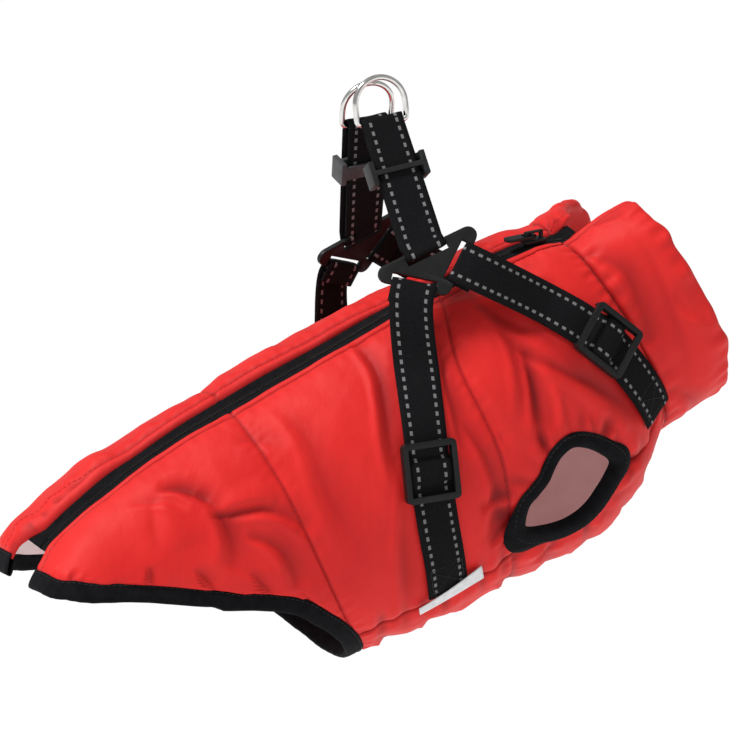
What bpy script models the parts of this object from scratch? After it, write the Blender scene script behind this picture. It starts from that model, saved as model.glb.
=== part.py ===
"""A padded dog coat that zips along the back, with its own webbing harness.

The coat keeps the hollow shape it has when it is worn, held up by its two D-rings.
Sizes are in millimetres and angles in degrees; place() turns them into Blender's metres.

Places on the coat are given in three numbers:
  along   the distance from the shoulders towards the neck (+) or the tail (-)
  around  the angle round the body from the spine (0) down the right side to the belly (180)
          and up the left side (360)
  out     the height above the plain surface of the coat
"""

import math

import bmesh
import bpy
import numpy as np
from mathutils import Vector

METRES = 0.001
GAP = 0.3  # between pieces that touch

TILT = 27.0  # the back slopes up towards the neck
WITHERS_DEPTH = 4.0  # the origin lies inside the coat, this far under the spine
SHELL = 2.0  # red cloth with its wadding, at a seam
LINING = 0.8
PUFF = 2.6  # how far the wadding lifts the cloth between two seams
COLLAR_PUFF = 4.0

# The cross-sections of the coat, from the tail to the rim of the collar.
SECTION_COLUMNS = ("along", "top", "bottom", "half_width", "back_squareness", "belly_squareness")
SECTIONS = [
    (-310, -22, -150, 58, 4.2, 2.2),
    (-280, -8, -150, 59, 3.9, 2.2),
    (-250, 2, -150, 60, 3.2, 2.2),
    (-215, 9, -151, 63, 2.6, 2.2),
    (-175, 12.5, -151, 67, 2.3, 2.2),
    (-130, 12.5, -154, 69, 2.2, 2.2),
    (-80, 12.5, -160, 70, 2.2, 2.2),
    (-20, 12.5, -167, 70, 2.2, 2.2),
    (30, 8.5, -167, 67, 2.2, 2.2),
    (60, 4, -155, 61, 2.4, 2.2),
    (84, -6, -138, 55, 2.8, 2.2),
    (110, -3, -133, 56, 3.2, 2.2),
    (145, 0, -133, 57, 3.2, 2.2),
]

# The edges and seams that run round the coat, as (around, along).
HEM = [
    (0, -285), (15, -284), (47, -276), (66, -258), (76, -238), (84, -218),
    (94, -189), (104, -169), (117, -156), (133, -146), (150, -141), (180, -139),
]  # fmt: skip
REAR_QUILTING = [(0, -140), (60, -144), (110, -146), (180, -130)]
SHOULDER_QUILTING = [(0, 2), (24, -4), (53, -20), (93, -26), (116, -35), (180, -38)]
NECK_SEAM = [(0, 79), (60, 81), (120, 86), (180, 84)]
COLLAR_RIM = [
    (0, 117), (12, 124), (40, 127), (60, 128), (90, 132), (180, 132), (270, 131), (320, 122),
    (345, 109), (360, 99),
]  # fmt: skip

# The seam between the back and the belly, as (along, around).
BELLY_SEAM = [
    (-160, 137), (-100, 137.5), (-60, 137), (-35, 131), (0, 119), (35, 121),
    (52, 127), (66, 130.5), (78, 128), (90, 121),
]  # fmt: skip

# Where the back panels end beside the zip, as distances to the left of the spine. The zip
# lies a little to the right, because the coat is turned on its own long axis.
ZIP_EDGE_COLUMNS = ("along", "right", "left")
ZIP_EDGE = [
    (-300, -30, 6), (-287, -22, 3), (-276, -17.5, 0), (-267, -15.5, -3), (-255, -18.5, -5.5),
    (-240, -20, -7), (-200, -20.5, -7.5), (-137, -21, -8), (-100, -22.5, -9.5), (-60, -24, -11),
    (-20, -24.5, -11.5), (40, -24, -11), (62, -23, -11), (78, -19.5, -8), (90, -17.5, -2),
    (104, -20, 5), (122, -24, 10), (140, -27, 12),
]  # fmt: skip
ZIP_END = -265.0

ZIP_TOPS = {"right": 111.0, "left": 94.0}
TAPE_WIDTH = 6.5  # at most, for each half
TAPE_LOW, TAPE_HIGH = -1.6, -0.5

# How far the cloth beside the zip stands above the plain surface on each side.
SIDE_LIFT_COLUMNS = ("along", "right", "left")
SIDE_LIFT = [
    (-300, -6, -3), (-290, -5, 1.5), (-280, -3, 6.5), (-272, -2, 8.5), (-254, 0, 8),
    (-235, 0, 7), (-217, 0, 7), (-199, 0, 4), (-181, 0, 4), (-163, 0, 4.6), (-145, 0, 5.4),
    (-129, 0, 6), (-110, 0, 6), (-90, 0, 4.5), (-50, 0, 2), (0, 0, 0), (50, 0, 0.5),
    (70, 0, 2), (84, 0, 6), (100, 0, 2.5), (140, 0, 0),
]  # fmt: skip
SIDE_LIFT_ENDS = 58.0  # degrees from the spine

HEM_BAND_OUTSIDE, HEM_BAND_INSIDE = 6.0, 5.0  # to each side of the hem line
HEM_BAND_LOW, HEM_BAND_HIGH = -3.4, 0.9

# The rim of the right leg hole, as (along, around).
LEG_HOLE = [
    (-26.5, 121.5), (-22, 113.5), (-14, 110.6), (-5, 107.3), (1.5, 103.5), (8, 101), (16, 100.5),
    (24, 104), (31, 110), (36, 117.5), (30.5, 121), (23, 124), (15, 127.5), (7, 129.6),
    (-3, 129.8), (-15, 127),
]  # fmt: skip
LEG_HOLE_POINTS = 32
LEG_BINDING_WIDTH = 10.0
LEG_BINDING_HIGH = 1.7

WEBBING_WIDTH = 25.0
WEBBING = 1.6  # thickness
WEBBING_OUT = 0.8  # its clearance above the padded coat
ACROSS = 4  # points across a strap that lies on the coat

# The middle of each strap on the right side, once it touches the coat: (along, around).
GIRTH_STRAP = [(-44, 50), (-52, 61), (-59, 71), (-66, 81), (-72, 91), (-77, 102), (-80, 113),
               (-82, 124), (-83, 132)]  # fmt: skip
CHEST_STRAP = [(45, 56), (53, 67), (61, 79), (68, 90), (72, 101), (75, 113), (76, 122)]
GIRTH_SLIDER_AT, CHEST_SLIDER_AT = 0.42, 0.36  # of the length of these two lists
GIRTH_SLIDER_LIFT, CHEST_SLIDER_LIFT = 0.5, 2.0
LEFT_STRAP_BACK = 7.0  # the left straps start this much nearer the tail

# Harness sizes in the upright frame of the held coat: x forward, y to the left, z up.
PLATE_CENTRE = (-22.5, -46.0, 32.5)
PLATE_LEAN = 25.0
PLATE_THICK = 3.0
PLATE_LOBE = 5.0  # radius
PLATE_YAW = 18.0  # the rear corner is turned in towards the spine
PLATE_CORNERS = {"rear": (-22.0, -13.4), "front": (24.5, 9.1), "low": (9.0, -20.8)}
SLOT_LENGTH, SLOT_LOW, SLOT_HIGH = 25.6, -1.8, 2.6  # across the slot, from the side's line
BAR_TAIL = 14.0  # how far a strap's end returns behind its bar

RING_BAR_CENTRES = {"right": (-35.0, -14.5, 102.5), "left": (-32.5, -14.5, 99.5)}
RING_LEANS = {"right": 2.0, "left": 22.0}  # towards the other ring
RING_BAR_DIRECTION = (0.995, 0.0, 0.1)
RING_WIRE = 1.7  # radius
RING_RADIUS = 15.2
RING_LEG = 10.2
RING_CORNER = 2.6

SLIDER_WIDTH, SLIDER_LENGTH = 32.0, 34.0
SLIDER_BAR, SLIDER_CENTRE_BAR, SLIDER_RAIL = 3.5, 4.0, 2.2
SLIDER_LOW, SLIDER_MIDDLE, SLIDER_HIGH = 0.4, 2.6, 5.4
STRAP_RISE = 2.9  # over a slider's middle bar
STRAP_DIP_START, STRAP_DIP_END = 3.5, 9.0

HANDLE_SLIDER_WIDTH = 34.0
HANDLE_SLIDER_AT = 0.4  # of the way down the handle

PULLER_ALONG = 65.0
PULLER_AXIS_OUT = 4.8
PULL_TAB_LENGTH, PULL_TAB_WIDTH, PULL_TAB_THICK = 19.0, 7.0, 1.6

LABEL_ALONG = (-103.0, -61.0)
LABEL_LOW_EDGE, LABEL_HIGH_EDGE = (137.0, 133.0), (133.0, 125.5)  # degrees at its two ends
LABEL_OUT, LABEL_THICK = 3.2, 0.8

RED = (0.78, 0.035, 0.03)
BLACK = (0.012, 0.012, 0.014)
PLASTIC = (0.02, 0.021, 0.022)
LINING_GREY = (0.62, 0.60, 0.62)
STEEL = (0.75, 0.75, 0.76)
WHITE = (0.85, 0.85, 0.85)


# ---------------------------------------------------------------- curves and surface


def smooth(rows, x, column=1):
    """The value at x of a smooth curve through the rows' first column and this one."""
    x = np.asarray(x, float)
    at = np.array([row[0] for row in rows], float)
    value = np.array([row[column] for row in rows], float)
    step = np.diff(at)
    slope = np.diff(value) / step
    tangent = np.concatenate([[slope[0]], slope[:-1], [slope[-1]]])
    tangent[1:-1] = (slope[:-1] * step[1:] + slope[1:] * step[:-1]) / (step[1:] + step[:-1])
    i = np.clip(np.searchsorted(at, x) - 1, 0, len(at) - 2)
    t = np.clip((x - at[i]) / step[i], -0.5, 1.5)
    return (
        (2 * t**3 - 3 * t**2 + 1) * value[i]
        + (t**3 - 2 * t**2 + t) * step[i] * tangent[i]
        + (3 * t**2 - 2 * t**3) * value[i + 1]
        + (t**3 - t**2) * step[i] * tangent[i + 1]
    )


def section(name, along):
    return smooth(SECTIONS, along, SECTION_COLUMNS.index(name))


def half_turn(around):
    """The angle from the spine on either side, from 0 to 180."""
    around = np.mod(around, 360)
    return np.minimum(around, 360 - around)


def line_round(rows, around):
    return smooth(rows, half_turn(around))


def plain(along, around):
    """A point of the coat's plain surface, as (along, y, height)."""
    along, around = np.broadcast_arrays(np.asarray(along, float), np.radians(around))
    top, bottom = section("top", along), section("bottom", along)
    cosine, sine = np.cos(around), np.sin(around)
    square = np.where(
        cosine > 0, section("back_squareness", along), section("belly_squareness", along)
    )
    y = -section("half_width", along) * np.sign(sine) * np.abs(sine) ** (2 / square)
    reach = np.sign(cosine) * np.abs(cosine) ** (2 / square)
    return np.stack([along, y, (top + bottom) / 2 + (top - bottom) / 2 * reach], axis=-1)


def around_of(along, y, height):
    """The angle round the coat of a point near its surface."""
    top, bottom = section("top", along), section("bottom", along)
    reach = (height - (top + bottom) / 2) / ((top - bottom) / 2)
    square = np.where(
        reach > 0, section("back_squareness", along), section("belly_squareness", along)
    )
    across = -y / section("half_width", along)
    sine = np.sign(across) * np.abs(across) ** (square / 2)
    cosine = np.sign(reach) * np.abs(reach) ** (square / 2)
    return np.degrees(np.arctan2(sine, cosine)) % 360


def outward(along, around):
    """The unit normal of the plain surface."""
    lengthwise = plain(along + 0.5, around) - plain(along - 0.5, around)
    roundwise = plain(along, around + 0.5) - plain(along, around - 0.5)
    normal = np.cross(roundwise, lengthwise)
    return normal / np.linalg.norm(normal, axis=-1, keepdims=True)


def pillow(share):
    """How full the wadding is between two seams: 0 on them and 1 in the middle."""
    share = np.clip(share, 0, 1)
    return (4 * share * (1 - share)) ** 0.6


def zip_edge(along, side):
    """How far to the left of the spine a back panel ends beside the zip."""
    return smooth(ZIP_EDGE, along, ZIP_EDGE_COLUMNS.index(side))


def zip_middle(along):
    return (zip_edge(along, "right") + zip_edge(along, "left")) / 2


def turn_of(along, to_left):
    """The angle round the coat, near the spine, of a point this far to the left of it."""
    share = -to_left / section("half_width", along)
    power = section("back_squareness", along) / 2
    return np.degrees(np.sign(share) * np.arcsin(np.abs(share) ** power))


def side_lift(along, around):
    """How far the cloth beside the zip stands above the plain surface."""
    across = plain(along, around)[..., 1] - zip_middle(along)
    left = across > 0
    lift = np.where(
        left,
        smooth(SIDE_LIFT, along, SIDE_LIFT_COLUMNS.index("left")),
        smooth(SIDE_LIFT, along, SIDE_LIFT_COLUMNS.index("right")),
    )
    edge = 1 - np.clip(half_turn(around) / SIDE_LIFT_ENDS, 0, 1)
    beside_zip = np.clip((np.abs(across) - 3) / 8, 0, 1)
    past_zip = np.clip((ZIP_END + 15 - along) / 25, 0, 1)
    return lift * edge**2 * (3 - 2 * edge) * np.maximum(beside_zip, past_zip)


def puff(along, around):
    """How far the wadding lifts the cloth."""
    lines = [HEM, REAR_QUILTING, SHOULDER_QUILTING, NECK_SEAM]
    lift = np.zeros(np.broadcast(along, around).shape)
    for first, second in zip(lines, lines[1:]):
        start, end = line_round(first, around), line_round(second, around)
        length = np.maximum(end - start, 1.0)
        share = (along - start) / length
        inside = (share > 0) & (share < 1)
        lift = np.where(inside, PUFF * np.minimum(1, length / 60) * pillow(share), lift)
    return lift + side_lift(along, around)


def rim_line(around):
    return smooth(COLLAR_RIM, np.clip(around, 0, 360))


def collar_puff(along, around):
    start, end = line_round(NECK_SEAM, around), rim_line(around)
    return COLLAR_PUFF * pillow((along - start) / (end - start) * 0.8) + side_lift(along, around)


def upright(point):
    """From (along, y, height) to the frame of the held coat: x forward, y left, z up."""
    tilt = math.radians(TILT)
    along, y, height = np.moveaxis(np.asarray(point, float), -1, 0)
    return np.stack(
        [
            along * math.cos(tilt) - height * math.sin(tilt),
            y,
            along * math.sin(tilt) + height * math.cos(tilt),
        ],
        axis=-1,
    )


def skin(along, around, out=0.0, lift=puff):
    """A point at a height above the padded coat, in the upright frame."""
    raised = (lift(along, around) + out)[..., None]
    return upright(plain(along, around) + outward(along, around) * raised)


ORIGIN = upright((0.0, 0.0, float(section("top", 0.0)) - WITHERS_DEPTH))


def place(points):
    """The points in Blender's metres, with the origin at the withers."""
    return (np.asarray(points, float) - ORIGIN) * METRES


# ---------------------------------------------------------------- solids


def material(name, colour, roughness, metallic=0.0):
    made = bpy.data.materials.get(name) or bpy.data.materials.new(name)
    made.use_nodes = True
    shader = made.node_tree.nodes["Principled BSDF"]
    shader.inputs["Base Color"].default_value = (*colour, 1.0)
    shader.inputs["Roughness"].default_value = roughness
    shader.inputs["Metallic"].default_value = metallic
    made.diffuse_color = (*colour, 1.0)
    return made


def solid(name, points, faces, finish, pivot=None):
    """One object from points in the upright frame, with its faces turned outwards."""
    pivot = np.zeros(3) if pivot is None else place(pivot)
    mesh = bpy.data.meshes.new(name)
    mesh.from_pydata([tuple(p) for p in place(points) - pivot], [], faces)
    mesh.materials.append(finish)
    shape = bmesh.new()
    shape.from_mesh(mesh)
    bmesh.ops.recalc_face_normals(shape, faces=shape.faces)
    shape.to_mesh(mesh)
    shape.free()
    made = bpy.data.objects.new(name, mesh)
    made.location = pivot
    bpy.context.scene.collection.objects.link(made)
    return made


def quads(rows, columns, first=0, wrap_rows=False, wrap_columns=False):
    """The faces of a grid of points that is stored row by row."""
    faces = []
    for i in range(rows if wrap_rows else rows - 1):
        for j in range(columns if wrap_columns else columns - 1):
            a, b = i * columns, (i + 1) % rows * columns
            k = (j + 1) % columns
            faces.append((first + a + j, first + b + j, first + b + k, first + a + k))
    return faces


def slab(name, outer, inner, finish):
    """A wall between two grids of points."""
    rows, columns = outer.shape[:2]
    count = rows * columns
    points = np.concatenate([outer.reshape(-1, 3), inner.reshape(-1, 3)])
    faces = []
    for a, b, c, d in quads(rows, columns) + quads(rows, columns, count):
        faces += [(a, b, c), (a, c, d)]
    rim = [j for j in range(columns)]
    rim += [i * columns + columns - 1 for i in range(1, rows)]
    rim += [(rows - 1) * columns + j for j in range(columns - 2, -1, -1)]
    rim += [i * columns for i in range(rows - 2, 0, -1)]
    for a, b in zip(rim, rim[1:] + rim[:1]):
        faces.append((a, b, b + count, a + count))
    return solid(name, points, faces, finish)


def loop_solid(name, rings, finish, pivot=None):
    """A closed tube through rings of points, shaped (ring, point, xyz)."""
    count, sides = rings.shape[:2]
    faces = quads(count, sides, wrap_rows=True, wrap_columns=True)
    return solid(name, rings.reshape(-1, 3), faces, finish, pivot)


def bar_solid(name, rings, finish, pivot=None):
    """A capped tube through rings of points."""
    count, sides = rings.shape[:2]
    faces = quads(count, sides, wrap_columns=True)
    faces += [tuple(range(sides)), tuple(range((count - 1) * sides, count * sides))]
    return solid(name, rings.reshape(-1, 3), faces, finish, pivot)


def mirrored(points):
    return np.asarray(points) * (1, -1, 1)


def sided(points, side):
    return mirrored(points) if side == "left" else points


def frame_box(centre, axes, low, high):
    """The eight corners of a box given by its limits along three axes."""
    corners = [
        centre + sum(axis * (high, low)[bit >> k & 1][k] for k, axis in enumerate(axes))
        for bit in range(8)
    ]
    return np.array(corners)


BOX_FACES = [(0, 1, 3, 2), (4, 6, 7, 5), (0, 4, 5, 1), (2, 3, 7, 6), (0, 2, 6, 4), (1, 5, 7, 3)]


def boolean(target, cutter_name, points, faces, operation="DIFFERENCE"):
    """Cuts the target with a helper that isn't part of the coat."""
    cutter = solid(cutter_name, points, faces, target.data.materials[0])
    cutter.hide_render = True
    cutter.display_type = "WIRE"
    step = target.modifiers.new(cutter_name, "BOOLEAN")
    step.object = cutter
    step.operation = operation
    step.solver = "EXACT"


# ---------------------------------------------------------------- cloth


def zip_edge_angle(along, side):
    """The angle from the spine, down a panel's own side, of its edge beside the zip."""
    turn = turn_of(along, zip_edge(along, side))
    return turn if side == "right" else -turn


def hem_line(around, inwards):
    """The hem moved inwards along the cloth, square to the hem's own direction."""
    at = line_round(HEM, around)
    here = plain(at, around)
    ahead, behind = around + 1.0, around - 1.0
    run = plain(line_round(HEM, ahead), ahead) - plain(line_round(HEM, behind), behind)
    run /= np.linalg.norm(run, axis=-1, keepdims=True)
    lengthwise = plain(at + 1.0, around) - here
    square = np.cross(outward(at, around), run)
    slant = np.abs((square * lengthwise).sum(-1))
    return at + inwards / np.maximum(slant, 0.4)


def panel_grid(rows, columns, lines, around_limits):
    """(along, around) of a grid of points between lines round the coat and two seams.

    lines are functions of around, and around_limits a function of along that gives both
    seams. The two depend on each other, so they are settled by turns.
    """
    row, share = np.meshgrid(rows, columns, indexing="ij")
    band = np.clip(row.astype(int), 0, len(lines) - 2)
    along = np.interp(row, [0, len(lines) - 1], [-240, 82])
    around = np.full(row.shape, 70.0)
    for _ in range(40):
        first, last = around_limits(along)
        around = 0.5 * around + 0.5 * (first + (last - first) * share)
        at = np.stack([line(around) for line in lines])
        start = np.take_along_axis(at, band[None], 0)[0]
        end = np.take_along_axis(at, band[None] + 1, 0)[0]
        along = 0.5 * along + 0.5 * (start + (end - start) * (row - band))
    return along, around


def back_limits(side, belly_clearance=0.15):
    def limits(along):
        return zip_edge_angle(along, side), smooth(BELLY_SEAM, along) - belly_clearance

    return limits


def belly_limits(along):
    seam = smooth(BELLY_SEAM, along) + 0.15
    return seam, 360 - seam


def panel_top(around):
    return line_round(NECK_SEAM, around) - GAP / 2


def panel_start(around):
    return hem_line(around, HEM_BAND_INSIDE + GAP)


def rear_quilting(around):
    """The quilting line, kept ahead of the hem where the two come together."""
    return np.maximum(line_round(REAR_QUILTING, around), panel_start(around) + 2.0)


def shoulder_quilting(around):
    return line_round(SHOULDER_QUILTING, around)


def cloth_wall(name, along, around, side, low, high, finish, padded):
    if side == "left":
        around = 360 - around
    outer = skin(along, around, high, puff if padded else side_lift)
    inner = skin(along, around, low, side_lift)
    return slab(name, outer, inner, finish)


def back_grid(side, per_band=5, columns=13):
    lines = [panel_start, rear_quilting, shoulder_quilting, panel_top]
    rows = np.concatenate([np.arange(per_band * 3) / per_band, [3]])
    share = np.linspace(0, 1, columns)
    return panel_grid(rows, share, lines, back_limits(side))


def belly_grid(per_band=5, columns=11):
    lines = [panel_start, rear_quilting, shoulder_quilting, panel_top]
    rows = np.concatenate([np.arange(per_band * 3) / per_band, [3]])
    return panel_grid(rows, np.linspace(0, 1, columns), lines, belly_limits)


def leg_hole_outline(widen, count):
    """The rim of the right leg hole, moved out along the cloth: (along, around)."""
    rows = [(i, *point) for i, point in enumerate(LEG_HOLE + LEG_HOLE[:3])]
    at = np.linspace(1, len(LEG_HOLE) + 1, count, endpoint=False)
    along, around = smooth(rows, at, 1), smooth(rows, at, 2)
    ahead_along, ahead_around = smooth(rows, at + 0.05, 1), smooth(rows, at + 0.05, 2)
    here = plain(along, around)
    run = plain(ahead_along, ahead_around) - here
    away = np.cross(run, outward(along, around))
    away /= np.linalg.norm(away, axis=-1, keepdims=True)
    middle = plain(6.0, 117.0)
    away *= np.sign(((here - middle) * away).sum(-1))[:, None]
    moved = here + away * widen
    return moved[:, 0], around_of(moved[:, 0], moved[:, 1], moved[:, 2])


def cut_leg_hole(target, side, widen):
    """Cuts the hole with a prism that runs through the wall, square to it."""
    along, around = leg_hole_outline(widen, LEG_HOLE_POINTS)
    rings = np.stack([skin(along, around, out, side_lift) for out in (-9.0, 9.0)])
    count = len(along)
    faces = quads(2, count, wrap_columns=True)
    faces += [tuple(range(count)), tuple(range(count, 2 * count))]
    name = f"leg_cutter_{side}_{target.name}"
    boolean(target, name, sided(rings, side).reshape(-1, 3), faces)


def leg_binding(side, finish):
    """The binding folded over the edge of a leg hole."""
    count = LEG_HOLE_POINTS
    inner_along, inner_around = leg_hole_outline(0.0, count)
    edge_along, edge_around = leg_hole_outline(2.2, count)
    outer_along, outer_around = leg_hole_outline(LEG_BINDING_WIDTH, count)
    under = -SHELL - LINING - 3 * GAP
    rings = np.stack(
        [
            skin(outer_along, outer_around, 0.5),
            skin(outer_along, outer_around, LEG_BINDING_HIGH),
            skin(inner_along, inner_around, LEG_BINDING_HIGH),
            skin(inner_along, inner_around, under, side_lift),
            skin(edge_along, edge_around, under, side_lift),
            skin(edge_along, edge_around, 0.5),
        ],
        axis=1,
    )
    return loop_solid(f"leg_binding_{side}", sided(rings, side), finish)


def hem_band(finish):
    """The band round the hem, from one side of the zip to the other."""
    sides = [back_grid(side)[1][0] for side in ("right", "left")]
    belly = belly_grid()[1][0]
    around = np.concatenate([sides[0], belly[1:-1], (360 - sides[1])[::-1]])
    across = np.array([-HEM_BAND_OUTSIDE, -0.5, HEM_BAND_INSIDE])
    along = np.stack([hem_line(around, d) for d in across], axis=1)
    around = np.repeat(around[:, None], 3, axis=1)
    outer = skin(along, around, HEM_BAND_HIGH, side_lift)
    inner = skin(along, around, HEM_BAND_LOW, side_lift)
    return slab("hem_band", outer, inner, finish)


def collar(finish):
    """One strip round the neck, from one side of the zip to the other."""
    share = np.linspace(0, 1, 33)
    rows = np.array([0, 0.08, 0.3, 0.55, 0.8, 0.95, 1.0])
    row, share = np.meshgrid(rows, share, indexing="ij")
    along, around = 84 + 40 * row, 360 * share
    for _ in range(30):
        first, last = zip_edge_angle(along, "right"), 360 - zip_edge_angle(along, "left")
        around = first + (last - first) * share
        start, end = line_round(NECK_SEAM, around) + GAP / 2, rim_line(around)
        along = start + (end - start) * row
    outer = skin(along, around, 0.0, collar_puff)
    inner = skin(along, around, -SHELL - LINING - GAP, side_lift)
    return slab("collar", outer, inner, finish)


def zip_tape(side, finish):
    """Half of the zip's tape, along the edge of its back panel and of the collar."""
    along = np.concatenate([np.linspace(ZIP_END, 60, 22), np.linspace(70, ZIP_TOPS[side], 6)])
    room = (zip_edge(along, "left") - zip_edge(along, "right")) / 2 - GAP - 0.4
    width = np.minimum(room, TAPE_WIDTH)
    inwards = 1 if side == "right" else -1

    def strip(to_left, out):
        return skin(along, turn_of(along, to_left), out, side_lift)

    outer = zip_edge(along, side) + inwards * GAP
    inner = outer + inwards * width
    top = np.stack([strip(inner, TAPE_HIGH), strip(outer, TAPE_HIGH)], axis=1)
    low = np.stack([strip(inner, TAPE_LOW), strip(outer, TAPE_LOW)], axis=1)
    return slab(f"zip_tape_{side}", top, low, finish)


def build_cloth():
    red = material("coat_cloth", RED, 0.5)
    pale = material("lining_cloth", LINING_GREY, 0.8)
    black = material("binding_cloth", BLACK, 0.85)
    tape = material("zip_tape_cloth", BLACK, 0.7)
    lining_low = -SHELL - GAP - LINING
    lining_high = -SHELL - GAP
    for side in ("right", "left"):
        along, around = back_grid(side)
        shell = cloth_wall(f"back_panel_{side}", along, around, side, -SHELL, 0.0, red, True)
        cut_leg_hole(shell, side, 3.0)
        inside = cloth_wall(
            f"lining_{side}", along, around, side, lining_low, lining_high, pale, False
        )
        cut_leg_hole(inside, side, 3.0)
        leg_binding(side, black)
        zip_tape(side, tape)
    along, around = belly_grid()
    belly = cloth_wall("belly_panel", along, around, "right", -SHELL, 0.0, red, True)
    inside = cloth_wall(
        "lining_belly", along, around, "right", lining_low, lining_high, pale, False
    )
    for side in ("right", "left"):
        cut_leg_hole(belly, side, 3.0)
        cut_leg_hole(inside, side, 3.0)
    hem_band(black)
    collar(red)


# ---------------------------------------------------------------- harness


def unit(vector):
    vector = np.asarray(vector, float)
    return vector / np.linalg.norm(vector)


def plate_axes():
    """Forward, up and outward directions of the right junction plate."""
    lean, yaw = math.radians(PLATE_LEAN), math.radians(PLATE_YAW)
    forward = np.array([math.cos(yaw), -math.sin(yaw), 0.0])
    aside = np.array([-math.sin(yaw), -math.cos(yaw), 0.0])
    upwards = np.array([0.0, 0.0, 1.0])
    up = upwards * math.cos(lean) - aside * math.sin(lean)
    out = aside * math.cos(lean) + upwards * math.sin(lean)
    return forward, up, out


def plate_side(first, second):
    """The middle, direction and outward direction of a side of the plate, and its normal."""
    forward, up, out = plate_axes()
    a, b = (np.array(PLATE_CORNERS[name]) for name in (first, second))
    direction = unit(b - a)
    away = np.array([direction[1], -direction[0]])
    away *= np.sign(away @ ((a + b) / 2 - np.mean(list(PLATE_CORNERS.values()), axis=0)))

    def turn(v):
        return forward * v[0] + up * v[1]

    middle = np.array(PLATE_CENTRE) + turn((a + b) / 2)
    return middle, turn(direction), turn(away), out


def junction_plate(side, finish):
    """A flat moulded triangle with round corners and a slot along each side."""
    forward, up, out = plate_axes()
    names = list(PLATE_CORNERS)
    middle = np.mean(list(PLATE_CORNERS.values()), axis=0)
    outline = []
    ordered = sorted(
        names, key=lambda n: math.atan2(*(np.array(PLATE_CORNERS[n]) - middle)[::-1])
    )
    for i, name in enumerate(ordered):
        corner = np.array(PLATE_CORNERS[name])
        before = np.array(PLATE_CORNERS[ordered[i - 1]])
        after = np.array(PLATE_CORNERS[ordered[(i + 1) % 3]])
        start = math.atan2(-(corner - before)[0], (corner - before)[1])
        end = math.atan2(-(after - corner)[0], (after - corner)[1])
        while end < start:
            end += 2 * math.pi
        for angle in np.linspace(start, end, 7):
            outline.append(corner + PLATE_LOBE * np.array([math.cos(angle), math.sin(angle)]))
    outline = np.array(outline)
    centre = np.array(PLATE_CENTRE)
    rings = np.stack(
        [
            centre + np.outer(outline[:, 0], forward) + np.outer(outline[:, 1], up) + out * h
            for h in (-PLATE_THICK / 2, PLATE_THICK / 2)
        ]
    )
    plate = bar_solid(f"junction_plate_{side}", sided(rings, side), finish)
    for first, second in (("rear", "front"), ("front", "low"), ("low", "rear")):
        at, along, away, normal = plate_side(first, second)
        low = (-SLOT_LENGTH / 2, SLOT_LOW, -PLATE_THICK)
        high = (SLOT_LENGTH / 2, SLOT_HIGH, PLATE_THICK)
        points = frame_box(at, (along, away, normal), low, high)
        name = f"slot_cutter_{side}_{first}_{second}"
        boolean(plate, name, sided(points, side), BOX_FACES)
    return plate


def ribbon_rings(centres, widths, width=WEBBING_WIDTH, thick=WEBBING):
    """Rectangles across a flat strap, one for each point of its middle line."""
    centres, widths = np.asarray(centres, float), np.asarray(widths, float)
    run = np.gradient(centres, axis=0)
    run /= np.linalg.norm(run, axis=1, keepdims=True)
    widths = widths - run * (widths * run).sum(1, keepdims=True)
    widths /= np.linalg.norm(widths, axis=1, keepdims=True)
    normal = np.cross(run, widths)
    corners = ((1, 1), (-1, 1), (-1, -1), (1, -1))
    return np.stack(
        [centres + widths * a * width / 2 + normal * b * thick / 2 for a, b in corners], axis=1
    )


def bar_turn(middle, away, normal, tail):
    """The strap's middle line round a bar of the plate, ending on the outer side."""
    inside = 1.5
    clear = PLATE_THICK / 2 + GAP + WEBBING / 2
    steps = [
        (tail, -clear),
        (inside + 0.6, -clear),
        (inside, -clear + 0.6),
        (inside, clear - 0.6),
        (inside + 0.6, clear),
        (8.0, clear),
    ]
    return [middle + away * q + normal * n for q, n in steps]


def along_path(rows, count):
    """Points on a smooth curve through (along, around) rows, with the distance run."""
    knots = np.arange(len(rows))
    table = [(k, *row) for k, row in zip(knots, rows)]
    fine = np.linspace(0, len(rows) - 1, 400)
    along, around = smooth(table, fine, 1), smooth(table, fine, 2)
    points = skin(along, around, WEBBING_OUT)
    run = np.concatenate([[0], np.cumsum(np.linalg.norm(np.diff(points, axis=0), axis=1))])
    return along, around, run


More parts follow.
